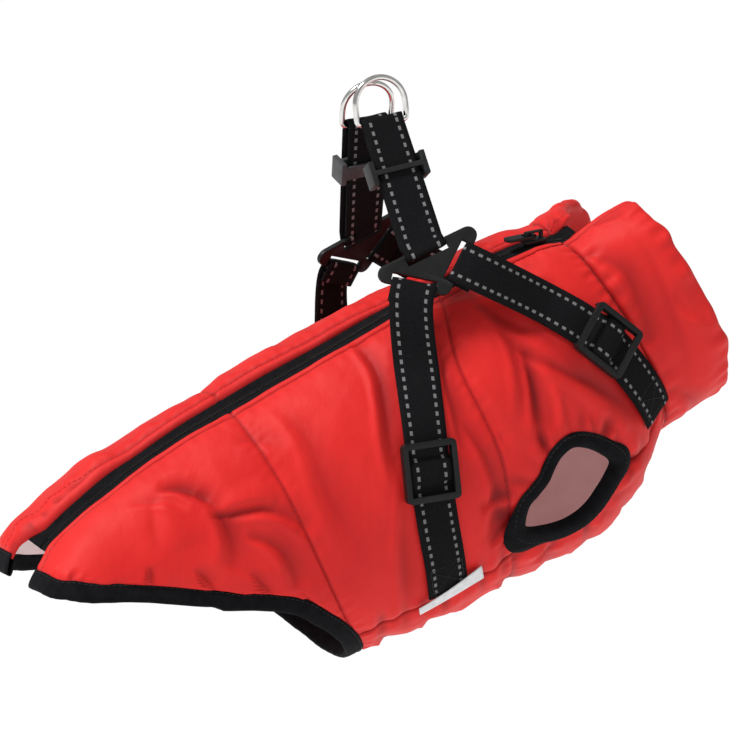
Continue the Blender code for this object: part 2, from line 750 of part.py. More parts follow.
def strap_on_coat(rows, slider_share, slider_lift, spacing=9.0):
    """Rings of a strap that lies on the coat and rises over its slider's middle bar.

    Each ring has ACROSS points on the outer side and as many on the inner side.
    """
    fine_along, fine_around, run = along_path(rows, 400)
    slider = slider_share * run[-1]
    stops = [slider + d for d in (-STRAP_DIP_END, -STRAP_DIP_START, STRAP_DIP_START, STRAP_DIP_END)]
    plain_stops = np.arange(0, run[-1], spacing)
    plain_stops = [d for d in plain_stops if abs(d - slider) > STRAP_DIP_END + 3]
    at = np.array(sorted([*plain_stops, *stops, run[-1]]))
    along, around = np.interp(at, run, fine_along), np.interp(at, run, fine_around)
    rise = np.where(np.abs(at - slider) < STRAP_DIP_START + 0.1, STRAP_RISE + slider_lift, 0.0)
    here = plain(along, around)
    ahead = plain(np.interp(at + 1, run, fine_along), np.interp(at + 1, run, fine_around))
    behind = plain(np.interp(at - 1, run, fine_along), np.interp(at - 1, run, fine_around))
    direction = ahead - behind
    direction /= np.linalg.norm(direction, axis=1, keepdims=True)
    across = np.cross(direction, outward(along, around))
    middle = int(np.argmin(np.abs(at - slider)))
    spot = np.interp(slider, run, fine_along)[None]
    turn = np.interp(slider, run, fine_around)[None]
    centre = skin(spot, turn, WEBBING_OUT + slider_lift)[0]
    normal = upright(outward(spot, turn))[0]
    sideways = unit(upright(across[middle]))
    forward = np.cross(normal, sideways)
    forward *= np.sign(forward @ upright(direction[middle]))
    layers = []
    for out in (WEBBING_OUT + WEBBING, WEBBING_OUT):
        row = []
        for offset in np.linspace(-WEBBING_WIDTH / 2, WEBBING_WIDTH / 2, ACROSS):
            moved = here + across * offset
            angle = around_of(moved[:, 0], moved[:, 1], moved[:, 2])
            line = skin(moved[:, 0], angle, out)
            for i in np.flatnonzero(rise > 0):
                high = STRAP_RISE + out - WEBBING_OUT
                line[i] = centre + sideways * offset + forward * (at[i] - slider) + normal * high
            row.append(line)
        layers.append(np.stack(row if out > WEBBING_OUT else row[::-1], axis=1))
    return np.concatenate(layers, axis=1), (centre, (sideways, forward, normal))


def wide_rings(rings):
    """Rectangles of four points with as many points as the rings of a strap on the coat."""
    share = np.linspace(0, 1, ACROSS)
    outer = [rings[:, 0] + (rings[:, 1] - rings[:, 0]) * t for t in share]
    inner = [rings[:, 2] + (rings[:, 3] - rings[:, 2]) * t for t in share]
    return np.stack(outer + inner, axis=1)


def lower_strap(name, side, plate_edge, rows, slider_share, slider_lift, finish):
    """A strap from a bar of the plate down to the coat and along it."""
    middle, direction, away, normal = plate_side(*plate_edge)
    if side == "left":
        last = rows[-1][1]
        rows = [(at - LEFT_STRAP_BACK * (last - turn) / last, turn) for at, turn in rows]
    on_coat, slider_place = strap_on_coat(rows, slider_share, slider_lift)
    turn = bar_turn(middle, away, normal, BAR_TAIL)
    landing = on_coat[0].mean(axis=0)
    edge = ACROSS - 1
    landing_width = unit(on_coat[0, edge] - on_coat[0, 0])
    if landing_width @ direction < 0:
        direction = -direction
    free = [turn[-1] + (landing - turn[-1]) * t for t in (0.33, 0.66)]
    widths = [direction] * len(turn)
    widths += [unit(direction * (1 - t) + landing_width * t) for t in (0.33, 0.66)]
    start = ribbon_rings([*turn, *free, landing], [*widths, landing_width])[:-1]
    start = wide_rings(start)
    if (start[-1, 0] - start[-1, edge]) @ (on_coat[0, 0] - on_coat[0, edge]) < 0:
        turned = [*range(edge, -1, -1), *range(2 * ACROSS - 1, edge, -1)]
        start = start[:, turned]
    if (start[-1, 1] - start[-1, -2]) @ (on_coat[0, 1] - on_coat[0, -2]) < 0:
        start = start[:, ::-1]
    rings = np.concatenate([start, on_coat])
    return bar_solid(name, sided(rings, side), finish), slider_place


def cell_solid(name, side, centre, axes, cuts, filled, finish):
    """The filled cells of a block that is cut at these places along its three axes."""
    corner_number, points, faces = {}, [], []

    def corner(i, j, k):
        if (i, j, k) not in corner_number:
            corner_number[i, j, k] = len(points)
            points.append(
                centre + axes[0] * cuts[0][i] + axes[1] * cuts[1][j] + axes[2] * cuts[2][k]
            )
        return corner_number[i, j, k]

    for i, j, k in filled:
        for axis in range(3):
            for end in (0, 1):
                beside = [i, j, k]
                beside[axis] += 2 * end - 1
                if tuple(beside) in filled:
                    continue
                low = [i, j, k]
                low[axis] += end
                first, second = (axis + 1) % 3, (axis + 2) % 3
                ring = []
                for a, b in ((0, 0), (1, 0), (1, 1), (0, 1)):
                    spot = list(low)
                    spot[first] += a
                    spot[second] += b
                    ring.append(corner(*spot))
                faces.append(tuple(ring if end else ring[::-1]))
    return solid(name, sided(np.array(points), side), faces, finish)


def slider(name, side, centre, axes, finish):
    """A two-slot slider: end bars over the strap and a middle bar under it."""
    rail = SLIDER_WIDTH / 2 - SLIDER_RAIL
    end, window = SLIDER_LENGTH / 2, SLIDER_LENGTH / 2 - SLIDER_BAR
    cuts = (
        (-SLIDER_WIDTH / 2, -rail, rail, SLIDER_WIDTH / 2),
        (-end, -window, -SLIDER_CENTRE_BAR / 2, SLIDER_CENTRE_BAR / 2, window, end),
        (SLIDER_LOW, SLIDER_MIDDLE, SLIDER_HIGH),
    )
    filled = {(i, j, k) for i in (0, 2) for j in range(5) for k in (0, 1)}
    filled |= {(1, 0, 1), (1, 4, 1), (1, 2, 0)}
    return cell_solid(name, side, centre, axes, cuts, filled, finish)


def ring_axes(lean):
    """The bar's direction, the upward direction in the ring's plane, and their normal."""
    bar = unit(RING_BAR_DIRECTION)
    inward = np.array([0.0, 1.0, 0.0])
    standing = unit(np.cross(inward, bar))
    standing *= np.sign(standing[2])
    angle = math.radians(lean)
    up = standing * math.cos(angle) + inward * math.sin(angle)
    return bar, up, unit(np.cross(up, bar))


def handle_strap(side, finish):
    """A closed band of webbing round the top bar of the plate and the bar of the D-ring."""
    middle, direction, away, normal = plate_side("rear", "front")
    bar, up, _ = ring_axes(0.0)
    top = np.array(RING_BAR_CENTRES[side])
    lift = unit(top - middle)
    face = unit(normal - lift * (normal @ lift))
    lower = bar_turn(middle, away, normal, 6.5)
    loop_radius = RING_WIRE + GAP + 0.1 + WEBBING / 2
    arc = [
        top + face * loop_radius * math.cos(a) + lift * loop_radius * math.sin(a)
        for a in np.radians(np.linspace(0, 180, 7))
    ]
    outer_run = [lower[-1] + (arc[0] - lower[-1]) * t for t in (0.25, 0.5, 0.75)]
    inner_run = [arc[-1] + (lower[0] - arc[-1]) * t for t in (0.25, 0.5, 0.75)]
    centres = np.array(lower + outer_run + arc + inner_run)
    height = np.clip((centres - middle) @ lift / np.linalg.norm(top - middle), 0, 1)
    widths = np.array([unit(direction * (1 - t) + bar * t) for t in height])
    wrapped = np.concatenate([centres[-1:], centres, centres[:1]])
    rings = ribbon_rings(wrapped, np.concatenate([widths[-1:], widths, widths[:1]]))[1:-1]
    made = loop_solid(f"handle_strap_{side}", sided(rings, side), finish)
    centre = arc[0] + (lower[-1] - arc[0]) * HANDLE_SLIDER_AT
    run = unit(arc[0] - lower[-1])
    across = direction * HANDLE_SLIDER_AT + bar * (1 - HANDLE_SLIDER_AT)
    across = unit(across - run * (across @ run))
    normal = np.cross(across, run)
    normal *= np.sign(normal @ face)
    return made, (centre, (across, run, normal))


def handle_slider(name, side, centre, axes, finish):
    """A short slider round both layers of a handle, with two bars between the layers."""
    rail = HANDLE_SLIDER_WIDTH / 2
    cuts = (
        (-rail, -rail + 3.2, rail - 3.2, rail),
        (-7.0, -4.2, -1.4, 1.4, 4.2, 7.0),
        (-9.0, -7.0, -3.5, -1.5, 1.5, 3.4),
    )
    filled = {(i, j, k) for i in (0, 2) for j in range(5) for k in range(5)}
    filled |= {(1, 2, 4), (1, 0, 2), (1, 4, 2), (1, 1, 0), (1, 2, 0), (1, 3, 0)}
    return cell_solid(name, side, centre, axes, cuts, filled, finish)


def d_ring(side, finish):
    """Round wire bent to a D, with its straight bar inside the strap's loop."""
    bar, up, normal = ring_axes(RING_LEANS[side])
    flat_half = RING_RADIUS - RING_CORNER
    outline = [(-flat_half, 0.0), (0.0, 0.0), (flat_half, 0.0)]
    for a in np.radians(np.linspace(-60, 0, 3)):
        outline.append(
            (flat_half + RING_CORNER * math.cos(a), RING_CORNER + RING_CORNER * math.sin(a))
        )
    for a in np.radians(np.linspace(0, 180, 15)):
        outline.append((RING_RADIUS * math.cos(a), RING_LEG + RING_RADIUS * math.sin(a)))
    for a in np.radians(np.linspace(180, 240, 3)):
        outline.append(
            (-flat_half + RING_CORNER * math.cos(a), RING_CORNER + RING_CORNER * math.sin(a))
        )
    outline = np.array(outline)
    ahead, behind = np.roll(outline, -1, axis=0), np.roll(outline, 1, axis=0)
    run = ahead - behind
    run /= np.linalg.norm(run, axis=1, keepdims=True)
    inwards = np.stack([-run[:, 1], run[:, 0]], axis=1)
    centre = np.array(RING_BAR_CENTRES[side])
    rings = []
    for angle in np.radians(np.arange(0, 360, 36)):
        spot = outline + inwards * RING_WIRE * math.cos(angle)
        rings.append(
            centre
            + np.outer(spot[:, 0], bar)
            + np.outer(spot[:, 1], up)
            + normal * RING_WIRE * math.sin(angle)
        )
    rings = np.stack(rings, axis=1)
    pivot = centre * ((1, -1, 1) if side == "left" else 1)
    made = loop_solid(f"d_ring_{side}", sided(rings, side), finish, pivot)
    made.data.shade_smooth()
    return made


def build_harness():
    webbing = material("webbing", BLACK, 0.8)
    plastic = material("black_plastic", PLASTIC, 0.4)
    steel = material("nickel_steel", STEEL, 0.2, 1.0)
    for side in ("right", "left"):
        junction_plate(side, plastic)
        _, grip = handle_strap(side, webbing)
        handle_slider(f"handle_slider_{side}", side, *grip, plastic)
        _, girth_slider = lower_strap(
            f"girth_strap_{side}",
            side,
            ("low", "rear"),
            GIRTH_STRAP,
            GIRTH_SLIDER_AT,
            GIRTH_SLIDER_LIFT,
            webbing,
        )
        slider(f"girth_slider_{side}", side, *girth_slider, plastic)
        _, chest_slider = lower_strap(
            f"chest_strap_{side}",
            side,
            ("front", "low"),
            CHEST_STRAP,
            CHEST_SLIDER_AT,
            CHEST_SLIDER_LIFT,
            webbing,
        )
        slider(f"chest_slider_{side}", side, *chest_slider, plastic)
        d_ring(side, steel)


# ---------------------------------------------------------------- zip hardware and label


def zip_place(along):
    """A point on the middle of the zip."""
    along = np.array([along])
    return upright(plain(along, turn_of(along, zip_middle(along))))[0]


def zip_axes(along):
    """Forward, left and upward directions of the zip at this place."""
    forward = unit(zip_place(along + 4.0) - zip_place(along - 4.0))
    here = np.array([along])
    normal = upright(outward(here, turn_of(here, zip_middle(here))))[0]
    left = unit(np.cross(normal, forward))
    return forward, left, np.cross(forward, left)


def zip_slider(finish):
    """The zip's slider body with a raised bridge that holds the pull tab."""
    centre = zip_place(PULLER_ALONG)
    cuts = ((-7.0, -6.0, -4.0, 4.0, 6.0, 7.0), (-3.8, -1.2, 1.2, 3.8), (0.9, 2.9, 6.4, 7.6))
    filled = {(i, j, 0) for i in range(5) for j in range(3)}
    filled |= {(1, 1, 1), (3, 1, 1), (1, 1, 2), (2, 1, 2), (3, 1, 2)}
    return cell_solid("zip_slider", "right", centre, zip_axes(PULLER_ALONG), cuts, filled, finish)


def zip_pull_tab(finish):
    """A flat tab with an eye that swings round the slider's bridge."""
    axes = zip_axes(PULLER_ALONG)
    centre = zip_place(PULLER_ALONG)
    axis = centre + axes[2] * PULLER_AXIS_OUT
    half = PULL_TAB_THICK / 2
    low = (-PULL_TAB_LENGTH, -PULL_TAB_WIDTH / 2, -half)
    points = frame_box(axis, axes, low, (0.8, PULL_TAB_WIDTH / 2, half))
    tab = solid("zip_pull_tab", points, BOX_FACES, finish, axis)
    eye = frame_box(axis, axes, (-7.6, -1.8, -4), (-0.8, 1.8, 4))
    boolean(tab, "eye_cutter", eye, BOX_FACES)
    return tab


def label(finish):
    """A blank woven label, narrower at its rear end, over the end of the girth strap."""
    share = np.linspace(0, 1, 7)
    along = LABEL_ALONG[0] + (LABEL_ALONG[1] - LABEL_ALONG[0]) * share
    edges = [first + (last - first) * share for first, last in (LABEL_LOW_EDGE, LABEL_HIGH_EDGE)]
    grids = []
    for out in (LABEL_OUT + LABEL_THICK, LABEL_OUT):
        grids.append(np.stack([skin(along, around, out) for around in edges], axis=1))
    return slab("label", grids[0], grids[1], finish)


def main():
    for made in list(bpy.data.objects):
        bpy.data.objects.remove(made, do_unlink=True)
    build_cloth()
    build_harness()
    plastic = material("black_plastic", PLASTIC, 0.4)
    zip_slider(plastic)
    zip_pull_tab(plastic)
    label(material("label_cloth", WHITE, 0.7))


main()
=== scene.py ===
# %% [markdown]
# # A padded dog coat with its own harness
#
# The coat is a soft, hollow form: two padded red panels meet at a zip along the back, a padded
# panel closes the belly and a padded collar stands round the neck. Black binding folds over the
# raw edges, and a webbing harness crosses the back on two moulded plates. The fixed frame holds
# the right sizes and the moving parts. Here each cloth is made again with its folds, seams and
# stitches, and each hard piece gets its rounded edges and finish.

import math
from functools import partial

import bpy
import numpy as np
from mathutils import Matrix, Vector, noise


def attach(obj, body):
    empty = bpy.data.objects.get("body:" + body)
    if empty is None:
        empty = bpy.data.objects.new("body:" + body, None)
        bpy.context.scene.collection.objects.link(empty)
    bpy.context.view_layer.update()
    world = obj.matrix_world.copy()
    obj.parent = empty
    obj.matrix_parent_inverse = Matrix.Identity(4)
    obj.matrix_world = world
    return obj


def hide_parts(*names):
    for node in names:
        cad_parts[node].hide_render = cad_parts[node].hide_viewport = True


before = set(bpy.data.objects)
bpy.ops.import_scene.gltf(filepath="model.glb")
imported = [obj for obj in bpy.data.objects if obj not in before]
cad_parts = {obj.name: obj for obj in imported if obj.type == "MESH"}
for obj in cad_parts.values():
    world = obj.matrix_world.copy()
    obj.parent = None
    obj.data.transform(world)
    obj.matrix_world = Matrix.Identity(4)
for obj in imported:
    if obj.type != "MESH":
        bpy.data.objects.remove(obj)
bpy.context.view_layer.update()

# %% [markdown]
# ## The coat's plain form
#
# A garment that is filled out by its wearer is close to a tube whose cross-section changes from
# tail to neck. It could be sculpted by hand, but a table of sections is easier to keep right:
# each row gives the top, the bottom, half the width and how square the back and belly are. Every
# cloth, seam and strap is then placed by three numbers: how far along the coat, how far round
# it in degrees from the spine, and how high above the plain surface.

# %% Sections and seam lines of the coat
GAP = 0.3  # between two pieces, in millimetres like all sizes here
TILT = 27.0  # how far the back rises towards the neck, in degrees
SHELL, LINING = 2.0, 0.8
PUFF, COLLAR_PUFF = 2.6, 4.0  # how high the wadding lifts the cloth
FULL_LENGTH = 60.0  # a panel this long between its seams is as full as PUFF says

SECTION_COLUMNS = ("along", "top", "bottom", "half_width", "back_squareness")
SECTIONS = [
    (-310, -22, -150, 58, 4.2),
    (-280, -8, -150, 59, 3.9),
    (-250, 2, -150, 60, 3.2),
    (-215, 9, -151, 63, 2.6),
    (-175, 12.5, -151, 67, 2.3),
    (-130, 12.5, -154, 69, 2.2),
    (-80, 12.5, -160, 70, 2.2),
    (-20, 12.5, -167, 70, 2.2),
    (30, 8.5, -167, 67, 2.2),
    (60, 4, -155, 61, 2.4),
    (84, -6, -138, 55, 2.8),
    (110, -3, -133, 56, 3.2),
    (145, 0, -133, 57, 3.2),
]
BELLY_SQUARENESS = 2.2

# seams that run round the coat, as (degrees from the spine, along)
HEM = [
    (0, -285), (15, -284), (47, -276), (66, -258), (76, -238), (84, -218),
    (94, -189), (104, -169), (117, -156), (133, -146), (150, -141), (180, -139),
]  # fmt: skip
REAR_QUILTING = [(0, -140), (60, -144), (110, -146), (180, -130)]
SHOULDER_QUILTING = [(0, 2), (24, -4), (53, -20), (93, -26), (116, -35), (180, -38)]
NECK_SEAM = [(0, 79), (60, 81), (120, 86), (180, 84)]
COLLAR_RIM = [
    (0, 117), (12, 124), (40, 127), (60, 128), (90, 132), (180, 132), (270, 131), (320, 122),
    (345, 109), (360, 99),
]  # fmt: skip

# the seam between back and belly, as (along, degrees from the spine)
BELLY_SEAM = [
    (-160, 137), (-100, 137.5), (-60, 137), (-35, 131), (0, 119), (35, 121),
    (52, 127), (66, 130.5), (78, 128), (90, 121),
]  # fmt: skip

# where the back panels end beside the zip, in millimetres to the left of the spine
ZIP_EDGE = [
    (-300, -30, 6), (-287, -22, 3), (-276, -17.5, 0), (-267, -15.5, -3), (-255, -18.5, -5.5),
    (-240, -20, -7), (-200, -20.5, -7.5), (-137, -21, -8), (-100, -22.5, -9.5), (-60, -24, -11),
    (-20, -24.5, -11.5), (40, -24, -11), (62, -23, -11), (78, -19.5, -8), (90, -17.5, -2),
    (104, -20, 5), (122, -24, 10), (140, -27, 12),
]  # fmt: skip
ZIP_END = -265.0
ZIP_TOPS = {"right": 111.0, "left": 94.0}

# how far the cloth beside the zip stands above the plain surface on each side
SIDE_LIFT = [
    (-300, -6, -3), (-290, -5, 1.5), (-280, -3, 6.5), (-272, -2, 8.5), (-254, 0, 8),
    (-235, 0, 7), (-217, 0, 7), (-199, 0, 4), (-181, 0, 4), (-163, 0, 4.6), (-145, 0, 5.4),
    (-129, 0, 6), (-110, 0, 6), (-90, 0, 4.5), (-50, 0, 2), (0, 0, 0), (50, 0, 0.5),
    (70, 0, 2), (84, 0, 6), (100, 0, 2.5), (140, 0, 0),
]  # fmt: skip
SIDE_LIFT_ENDS = 58.0

# the rim of the right leg hole, as (along, degrees from the spine)
LEG_MIDDLE = (6.0, 117.0)
LEG_HOLE = [
    (-26.5, 121.5), (-22, 113.5), (-14, 110.6), (-5, 107.3), (1.5, 103.5), (8, 101), (16, 100.5),
    (24, 104), (31, 110), (36, 117.5), (30.5, 121), (23, 124), (15, 127.5), (7, 129.6),
    (-3, 129.8), (-15, 127),
]  # fmt: skip
print(len(SECTIONS), "sections and", len(LEG_HOLE), "points round each leg hole")

# %% Small tools for curves
SIDES = ("right", "left")
SIDE_COLUMNS = ("along", *SIDES)  # of the tables with a value for each side


def clip01(value):
    return np.clip(value, 0, 1)


def ease(share):
    return share**2 * (3 - 2 * share)


def bell(distance, width):
    return np.exp(-((distance / width) ** 2))


def unit(vectors):
    vectors = np.asarray(vectors, float)
    return vectors / np.linalg.norm(vectors, axis=-1, keepdims=True)


def run_along(points):
    """The distance from the first point of a line to each of its points."""
    return np.concatenate([[0], np.cumsum(np.linalg.norm(np.diff(points, axis=0), axis=1))])


def at_runs(wanted, run, points):
    """The points of a line at these distances along it."""
    return np.stack([np.interp(wanted, run, column) for column in points.T], axis=1)


def hermite(t, start, leaving, end, landing):
    """A smooth curve from start to end, with a slope at each of them."""
    slopes = (t**3 - 2 * t**2 + t) * leaving + (t**3 - t**2) * landing
    return (2 * t**3 - 3 * t**2 + 1) * start + (3 * t**2 - 2 * t**3) * end + slopes


def smooth(rows, x, column=1):
    """The value at x of a smooth curve through the rows' first column and this one."""
    at, value = (np.array([row[k] for row in rows], float) for k in (0, column))
    step = np.diff(at)
    slope = np.diff(value) / step
    tangent = np.concatenate([[slope[0]], slope[:-1], [slope[-1]]])
    tangent[1:-1] = (slope[:-1] * step[1:] + slope[1:] * step[:-1]) / (step[1:] + step[:-1])
    i = np.clip(np.searchsorted(at, x) - 1, 0, len(at) - 2)
    t = np.clip((x - at[i]) / step[i], -0.5, 1.5)
    return hermite(t, value[i], step[i] * tangent[i], value[i + 1], step[i] * tangent[i + 1])


def on_curve(points, at):
    """Places on the smooth curve through the points, counted in points from the first."""
    rows = [(i, *point) for i, point in enumerate(points)]
    return smooth(rows, at, 1), smooth(rows, at, 2)


print("a smooth step is", ease(0.25), "at a quarter of its way")


# %% Points on the coat
def section(name, along):
    return smooth(SECTIONS, along, SECTION_COLUMNS.index(name))


def squareness(along, upper):
    return np.where(upper, section("back_squareness", along), BELLY_SQUARENESS)


def signed_power(value, power):
    return np.sign(value) * np.abs(value) ** power


def half_turn(around):
    around = np.mod(around, 360)
    return np.minimum(around, 360 - around)


def line_round(rows, around):
    return smooth(rows, half_turn(around))


def plain(along, around):
    """A point of the plain surface, as (along, to the left, height)."""
    along, around = np.broadcast_arrays(np.asarray(along, float), np.radians(around))
    top, bottom = section("top", along), section("bottom", along)
    power = 2 / squareness(along, np.cos(around) > 0)
    y = -section("half_width", along) * signed_power(np.sin(around), power)
    reach = signed_power(np.cos(around), power)
    return np.stack([along, y, (top + bottom) / 2 + (top - bottom) / 2 * reach], axis=-1)


def around_of(points):
    """The angle round the coat of points near its surface."""
    along, y, height = np.moveaxis(points, -1, 0)
    top, bottom = section("top", along), section("bottom", along)
    reach = (height - (top + bottom) / 2) / ((top - bottom) / 2)
    power = squareness(along, reach > 0) / 2
    sine = signed_power(-y / section("half_width", along), power)
    return np.degrees(np.arctan2(sine, signed_power(reach, power))) % 360


def outward(along, around):
    """The unit normal of the plain surface."""
    lengthwise = plain(along + 0.5, around) - plain(along - 0.5, around)
    roundwise = plain(along, around + 0.5) - plain(along, around - 0.5)
    return unit(np.cross(roundwise, lengthwise))


def zip_edge(along, side):
    return smooth(ZIP_EDGE, along, SIDE_COLUMNS.index(side))


def turn_of(along, to_left):
    """The angle round the coat, near the spine, of a point this far to the left of it."""
    share = -to_left / section("half_width", along)
    power = section("back_squareness", along) / 2
    return np.degrees(np.sign(share) * np.arcsin(np.abs(share) ** power))


def zip_middle(along):
    return (zip_edge(along, "right") + zip_edge(along, "left")) / 2


def side_lift(along, around):
    """How far the cloth beside the zip stands above the plain surface."""
    across = plain(along, around)[..., 1] - zip_middle(along)
    right, left = (smooth(SIDE_LIFT, along, SIDE_COLUMNS.index(side)) for side in SIDES)
    beside_zip = clip01((np.abs(across) - 3) / 8)
    past_zip = clip01((ZIP_END + 15 - along) / 25)
    low_down = ease(1 - clip01(half_turn(around) / SIDE_LIFT_ENDS))
    return np.where(across > 0, left, right) * low_down * np.maximum(beside_zip, past_zip)


def pillow(share):
    """How full the wadding is between two seams: 0 on them and 1 in the middle."""
    share = clip01(share)
    return (4 * share * (1 - share)) ** 0.6


def wadding(along, around):
    """How far the wadding lifts the cloth between the quilting lines."""
    lines = [HEM, REAR_QUILTING, SHOULDER_QUILTING, NECK_SEAM]
    lift = np.zeros(np.broadcast(along, around).shape)
    for first, second in zip(lines, lines[1:]):
        start, end = line_round(first, around), line_round(second, around)
        length = np.maximum(end - start, 1.0)
        share = (along - start) / length
        full = PUFF * np.minimum(1, length / FULL_LENGTH) * pillow(share)
        lift = np.where((share > 0) & (share < 1), full, lift)
    return lift


def cloth_lift(along, around):
    return wadding(along, around) + side_lift(along, around)


def upright(point):
    """From (along, left, height) to the frame of the held coat: x forward, y left, z up."""
    tilt = math.radians(TILT)
    along, y, height = np.moveaxis(np.asarray(point, float), -1, 0)
    x = along * math.cos(tilt) - height * math.sin(tilt)
    z = along * math.sin(tilt) + height * math.cos(tilt)
    return np.stack([x, y, z], axis=-1)


def at_height(along, around, height):
    """A point at this height above the plain surface, in the held coat's frame."""
    raised = np.asarray(height, float)[..., None]
    return upright(plain(along, around) + outward(along, around) * raised)


ORIGIN = upright((0.0, 0.0, float(section("top", 0.0)) - 4.0))


def metres(points):
    return (np.asarray(points, float) - ORIGIN) * 0.001


def mirrored(points, side):
    """The points of the right side, or their mirror image for the left side."""
    return points * (1, -1, 1) if side == "left" else points


spot = metres(at_height(np.array([0.0]), np.array([90.0]), np.array([0.0])))[0]
print("the right side at the shoulders is at", np.round(spot * 1000, 1), "mm")

# %% [markdown]
# ## Helpers for meshes
#
# A cloth wall is two grids of points, an outer and an inner one, with walls along every open
# edge, so the mesh is closed. Some cells can be left out, which makes a leg hole. All places
# are worked out in millimetres and stored in metres, so that each object sits at the origin.

# %% Build closed walls of cloth
def shown(name, mesh):
    """A smooth object of this mesh, in the scene."""
    mesh.polygons.foreach_set("use_smooth", [True] * len(mesh.polygons))
    mesh.update()
    made = bpy.data.objects.new(name, mesh)
    bpy.context.scene.collection.objects.link(made)
    return made


def mesh_object(name, points, faces, uv=None, crease_shade=None):
    """An object from points in metres and faces, turned outwards, with its map and painted crease
    shade per point.
    """
    first, second, third, fourth = (points[faces[:, k]] for k in range(4))
    volume = (first * np.cross(second, third)).sum() + (first * np.cross(third, fourth)).sum()
    if volume < 0:
        faces = faces[:, ::-1]
    mesh = bpy.data.meshes.new(name)
    mesh.from_pydata(points.tolist(), [], faces.tolist())
    if uv is not None:
        layer = mesh.uv_layers.new(name="cloth_map")
        corners = np.zeros(len(mesh.loops), int)
        mesh.loops.foreach_get("vertex_index", corners)
        layer.data.foreach_set("uv", np.asarray(uv, np.float32)[corners].ravel())
    if crease_shade is not None:
        shade = mesh.attributes.new("crease_shade", "FLOAT", "POINT")
        shade.data.foreach_set("value", np.asarray(crease_shade, np.float32).ravel())
    return shown(name, mesh)


def wall(name, outer, inner, keep=None, uv=None, crease_shade=None):
    """A closed wall between two grids in metres. keep says which cells are cloth."""
    rows, columns = outer.shape[:2]
    count = rows * columns
    index = np.arange(count).reshape(rows, columns)
    if keep is None:
        keep = np.ones((rows - 1, columns - 1), bool)
    a, b, c, d = index[:-1, :-1], index[1:, :-1], index[1:, 1:], index[:-1, 1:]
    top = np.stack([a, b, c, d], axis=-1)[keep]
    faces = [top, top[:, ::-1] + count]
    beside = np.pad(keep, 1)
    for other, first, second in (
        (beside[1:-1, :-2], a, b),
        (beside[2:, 1:-1], b, c),
        (beside[1:-1, 2:], c, d),
        (beside[:-2, 1:-1], d, a),
    ):
        open_edge = keep & ~other
        p, q = first[open_edge], second[open_edge]
        faces.append(np.stack([q, p, p + count, q + count], axis=-1))
    used, faces = np.unique(np.concatenate(faces), return_inverse=True)
    points = np.concatenate([outer.reshape(-1, 3), inner.reshape(-1, 3)])[used]
    if uv is not None:
        uv = np.concatenate([uv.reshape(-1, 2)] * 2)[used]
    if crease_shade is not None:
        crease_shade = np.concatenate([crease_shade.ravel(), crease_shade.ravel() * 0])[used]
    return mesh_object(name, points, faces.reshape(-1, 4), uv, crease_shade)


def cloth_wall(name, along, around, heights, keep=None, crease_shade=None):
    """A wall of cloth between two heights above the plain surface."""
    outer, inner = (metres(at_height(along, around, height)) for height in heights)
    uv = np.stack([along / 100, around * CLOTH_PER_DEGREE / 100], axis=-1)
    return wall(name, outer, inner, keep, uv, crease_shade)


def strip(name, rows, thickness, uv, thin_edge=0.45):
    """A ribbon round a grid of middle points in millimetres, with soft edges."""
    normal = np.cross(np.gradient(rows, axis=0), np.gradient(rows, axis=1))
    normal /= np.linalg.norm(normal, axis=-1, keepdims=True) + 1e-12
    across = np.linspace(-1, 1, rows.shape[1])
    share = np.maximum(1 - np.abs(across) ** 10, thin_edge)[None, :, None]
    half = normal * share * thickness / 2
    return wall(name, metres(rows + half), metres(rows - half), uv=uv)


def strip_map(run, width, columns):
    """A ribbon's own map, from the run along it and its width."""
    return np.stack(np.meshgrid(run, np.linspace(0, width, columns), indexing="ij"), axis=-1)


def ride(piece, finish, nodes, slot, body="coat"):
    """Gives a piece its finish, the body it moves with and the nodes that it stands for."""
    piece.data.materials.clear()
    piece.data.materials.append(finish)
    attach(piece, body)
    if nodes:
        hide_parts(*nodes)


def declare_sheet(piece, width, length):
    """Says how large the flat cloth of a sheet was, from its size in millimetres."""
    width, length = width / 1000, length / 1000
    print(f"{piece.name}: {width * 1000:.0f} x {length * 1000:.0f} mm flat")


print("helpers for walls and ribbons are ready")

# %% [markdown]
# ## Finishes
#
# The red cloth is a fine woven polyester with a soft sheen, over wadding. Its weave is far too
# fine to model, so a noise bump stands for it, and a second, slower bump gives the small crumples
# between the big folds, which are real shape. Black binding and webbing are matt. The webbing has
# ribs across it and two rows of pale reflective dashes, drawn from the ribbon's own map. The
# lining is pale; its pink tint and a little warm glow are painted light, for the daylight that
# comes through the red cloth into the coat.

# %% Helpers for finishes
def new_finish(name, colour, roughness, specular=0.5, **more):
    """A material and its shader. more gives other inputs, such as sheen_weight."""
    made = bpy.data.materials.new(name)
    made.use_nodes = True
    made.diffuse_color = (*colour, 1.0)
    shader = made.node_tree.nodes["Principled BSDF"]
    shader.inputs["Specular IOR Level"].default_value = specular
    more |= {"base_color": (*colour, 1.0), "roughness": roughness}
    for words, value in more.items():
        shader.inputs[words.replace("_", " ").title()].default_value = value
    return made, shader


def node(made, kind, **values):
    added = made.node_tree.nodes.new(kind)
    for name, value in values.items():
        if name in added.inputs:
            added.inputs[name].default_value = value
        else:
            setattr(added, name, value)
    return added


def link(made, source, target):
    made.node_tree.links.new(source, target)


def object_noise(made, scale, detail=2.0, rough=0.5, stretch=(1.0, 1.0, 1.0)):
    """A noise on the object's own coordinates, in features of 1/scale metres."""
    place = node(made, "ShaderNodeTexCoord")
    turn = node(made, "ShaderNodeMapping", Scale=stretch)
    grain = node(made, "ShaderNodeTexNoise", Scale=scale, Detail=detail, Roughness=rough)
    link(made, place.outputs["Object"], turn.inputs["Vector"])
    link(made, turn.outputs["Vector"], grain.inputs["Vector"])
    return grain.outputs["Fac"]


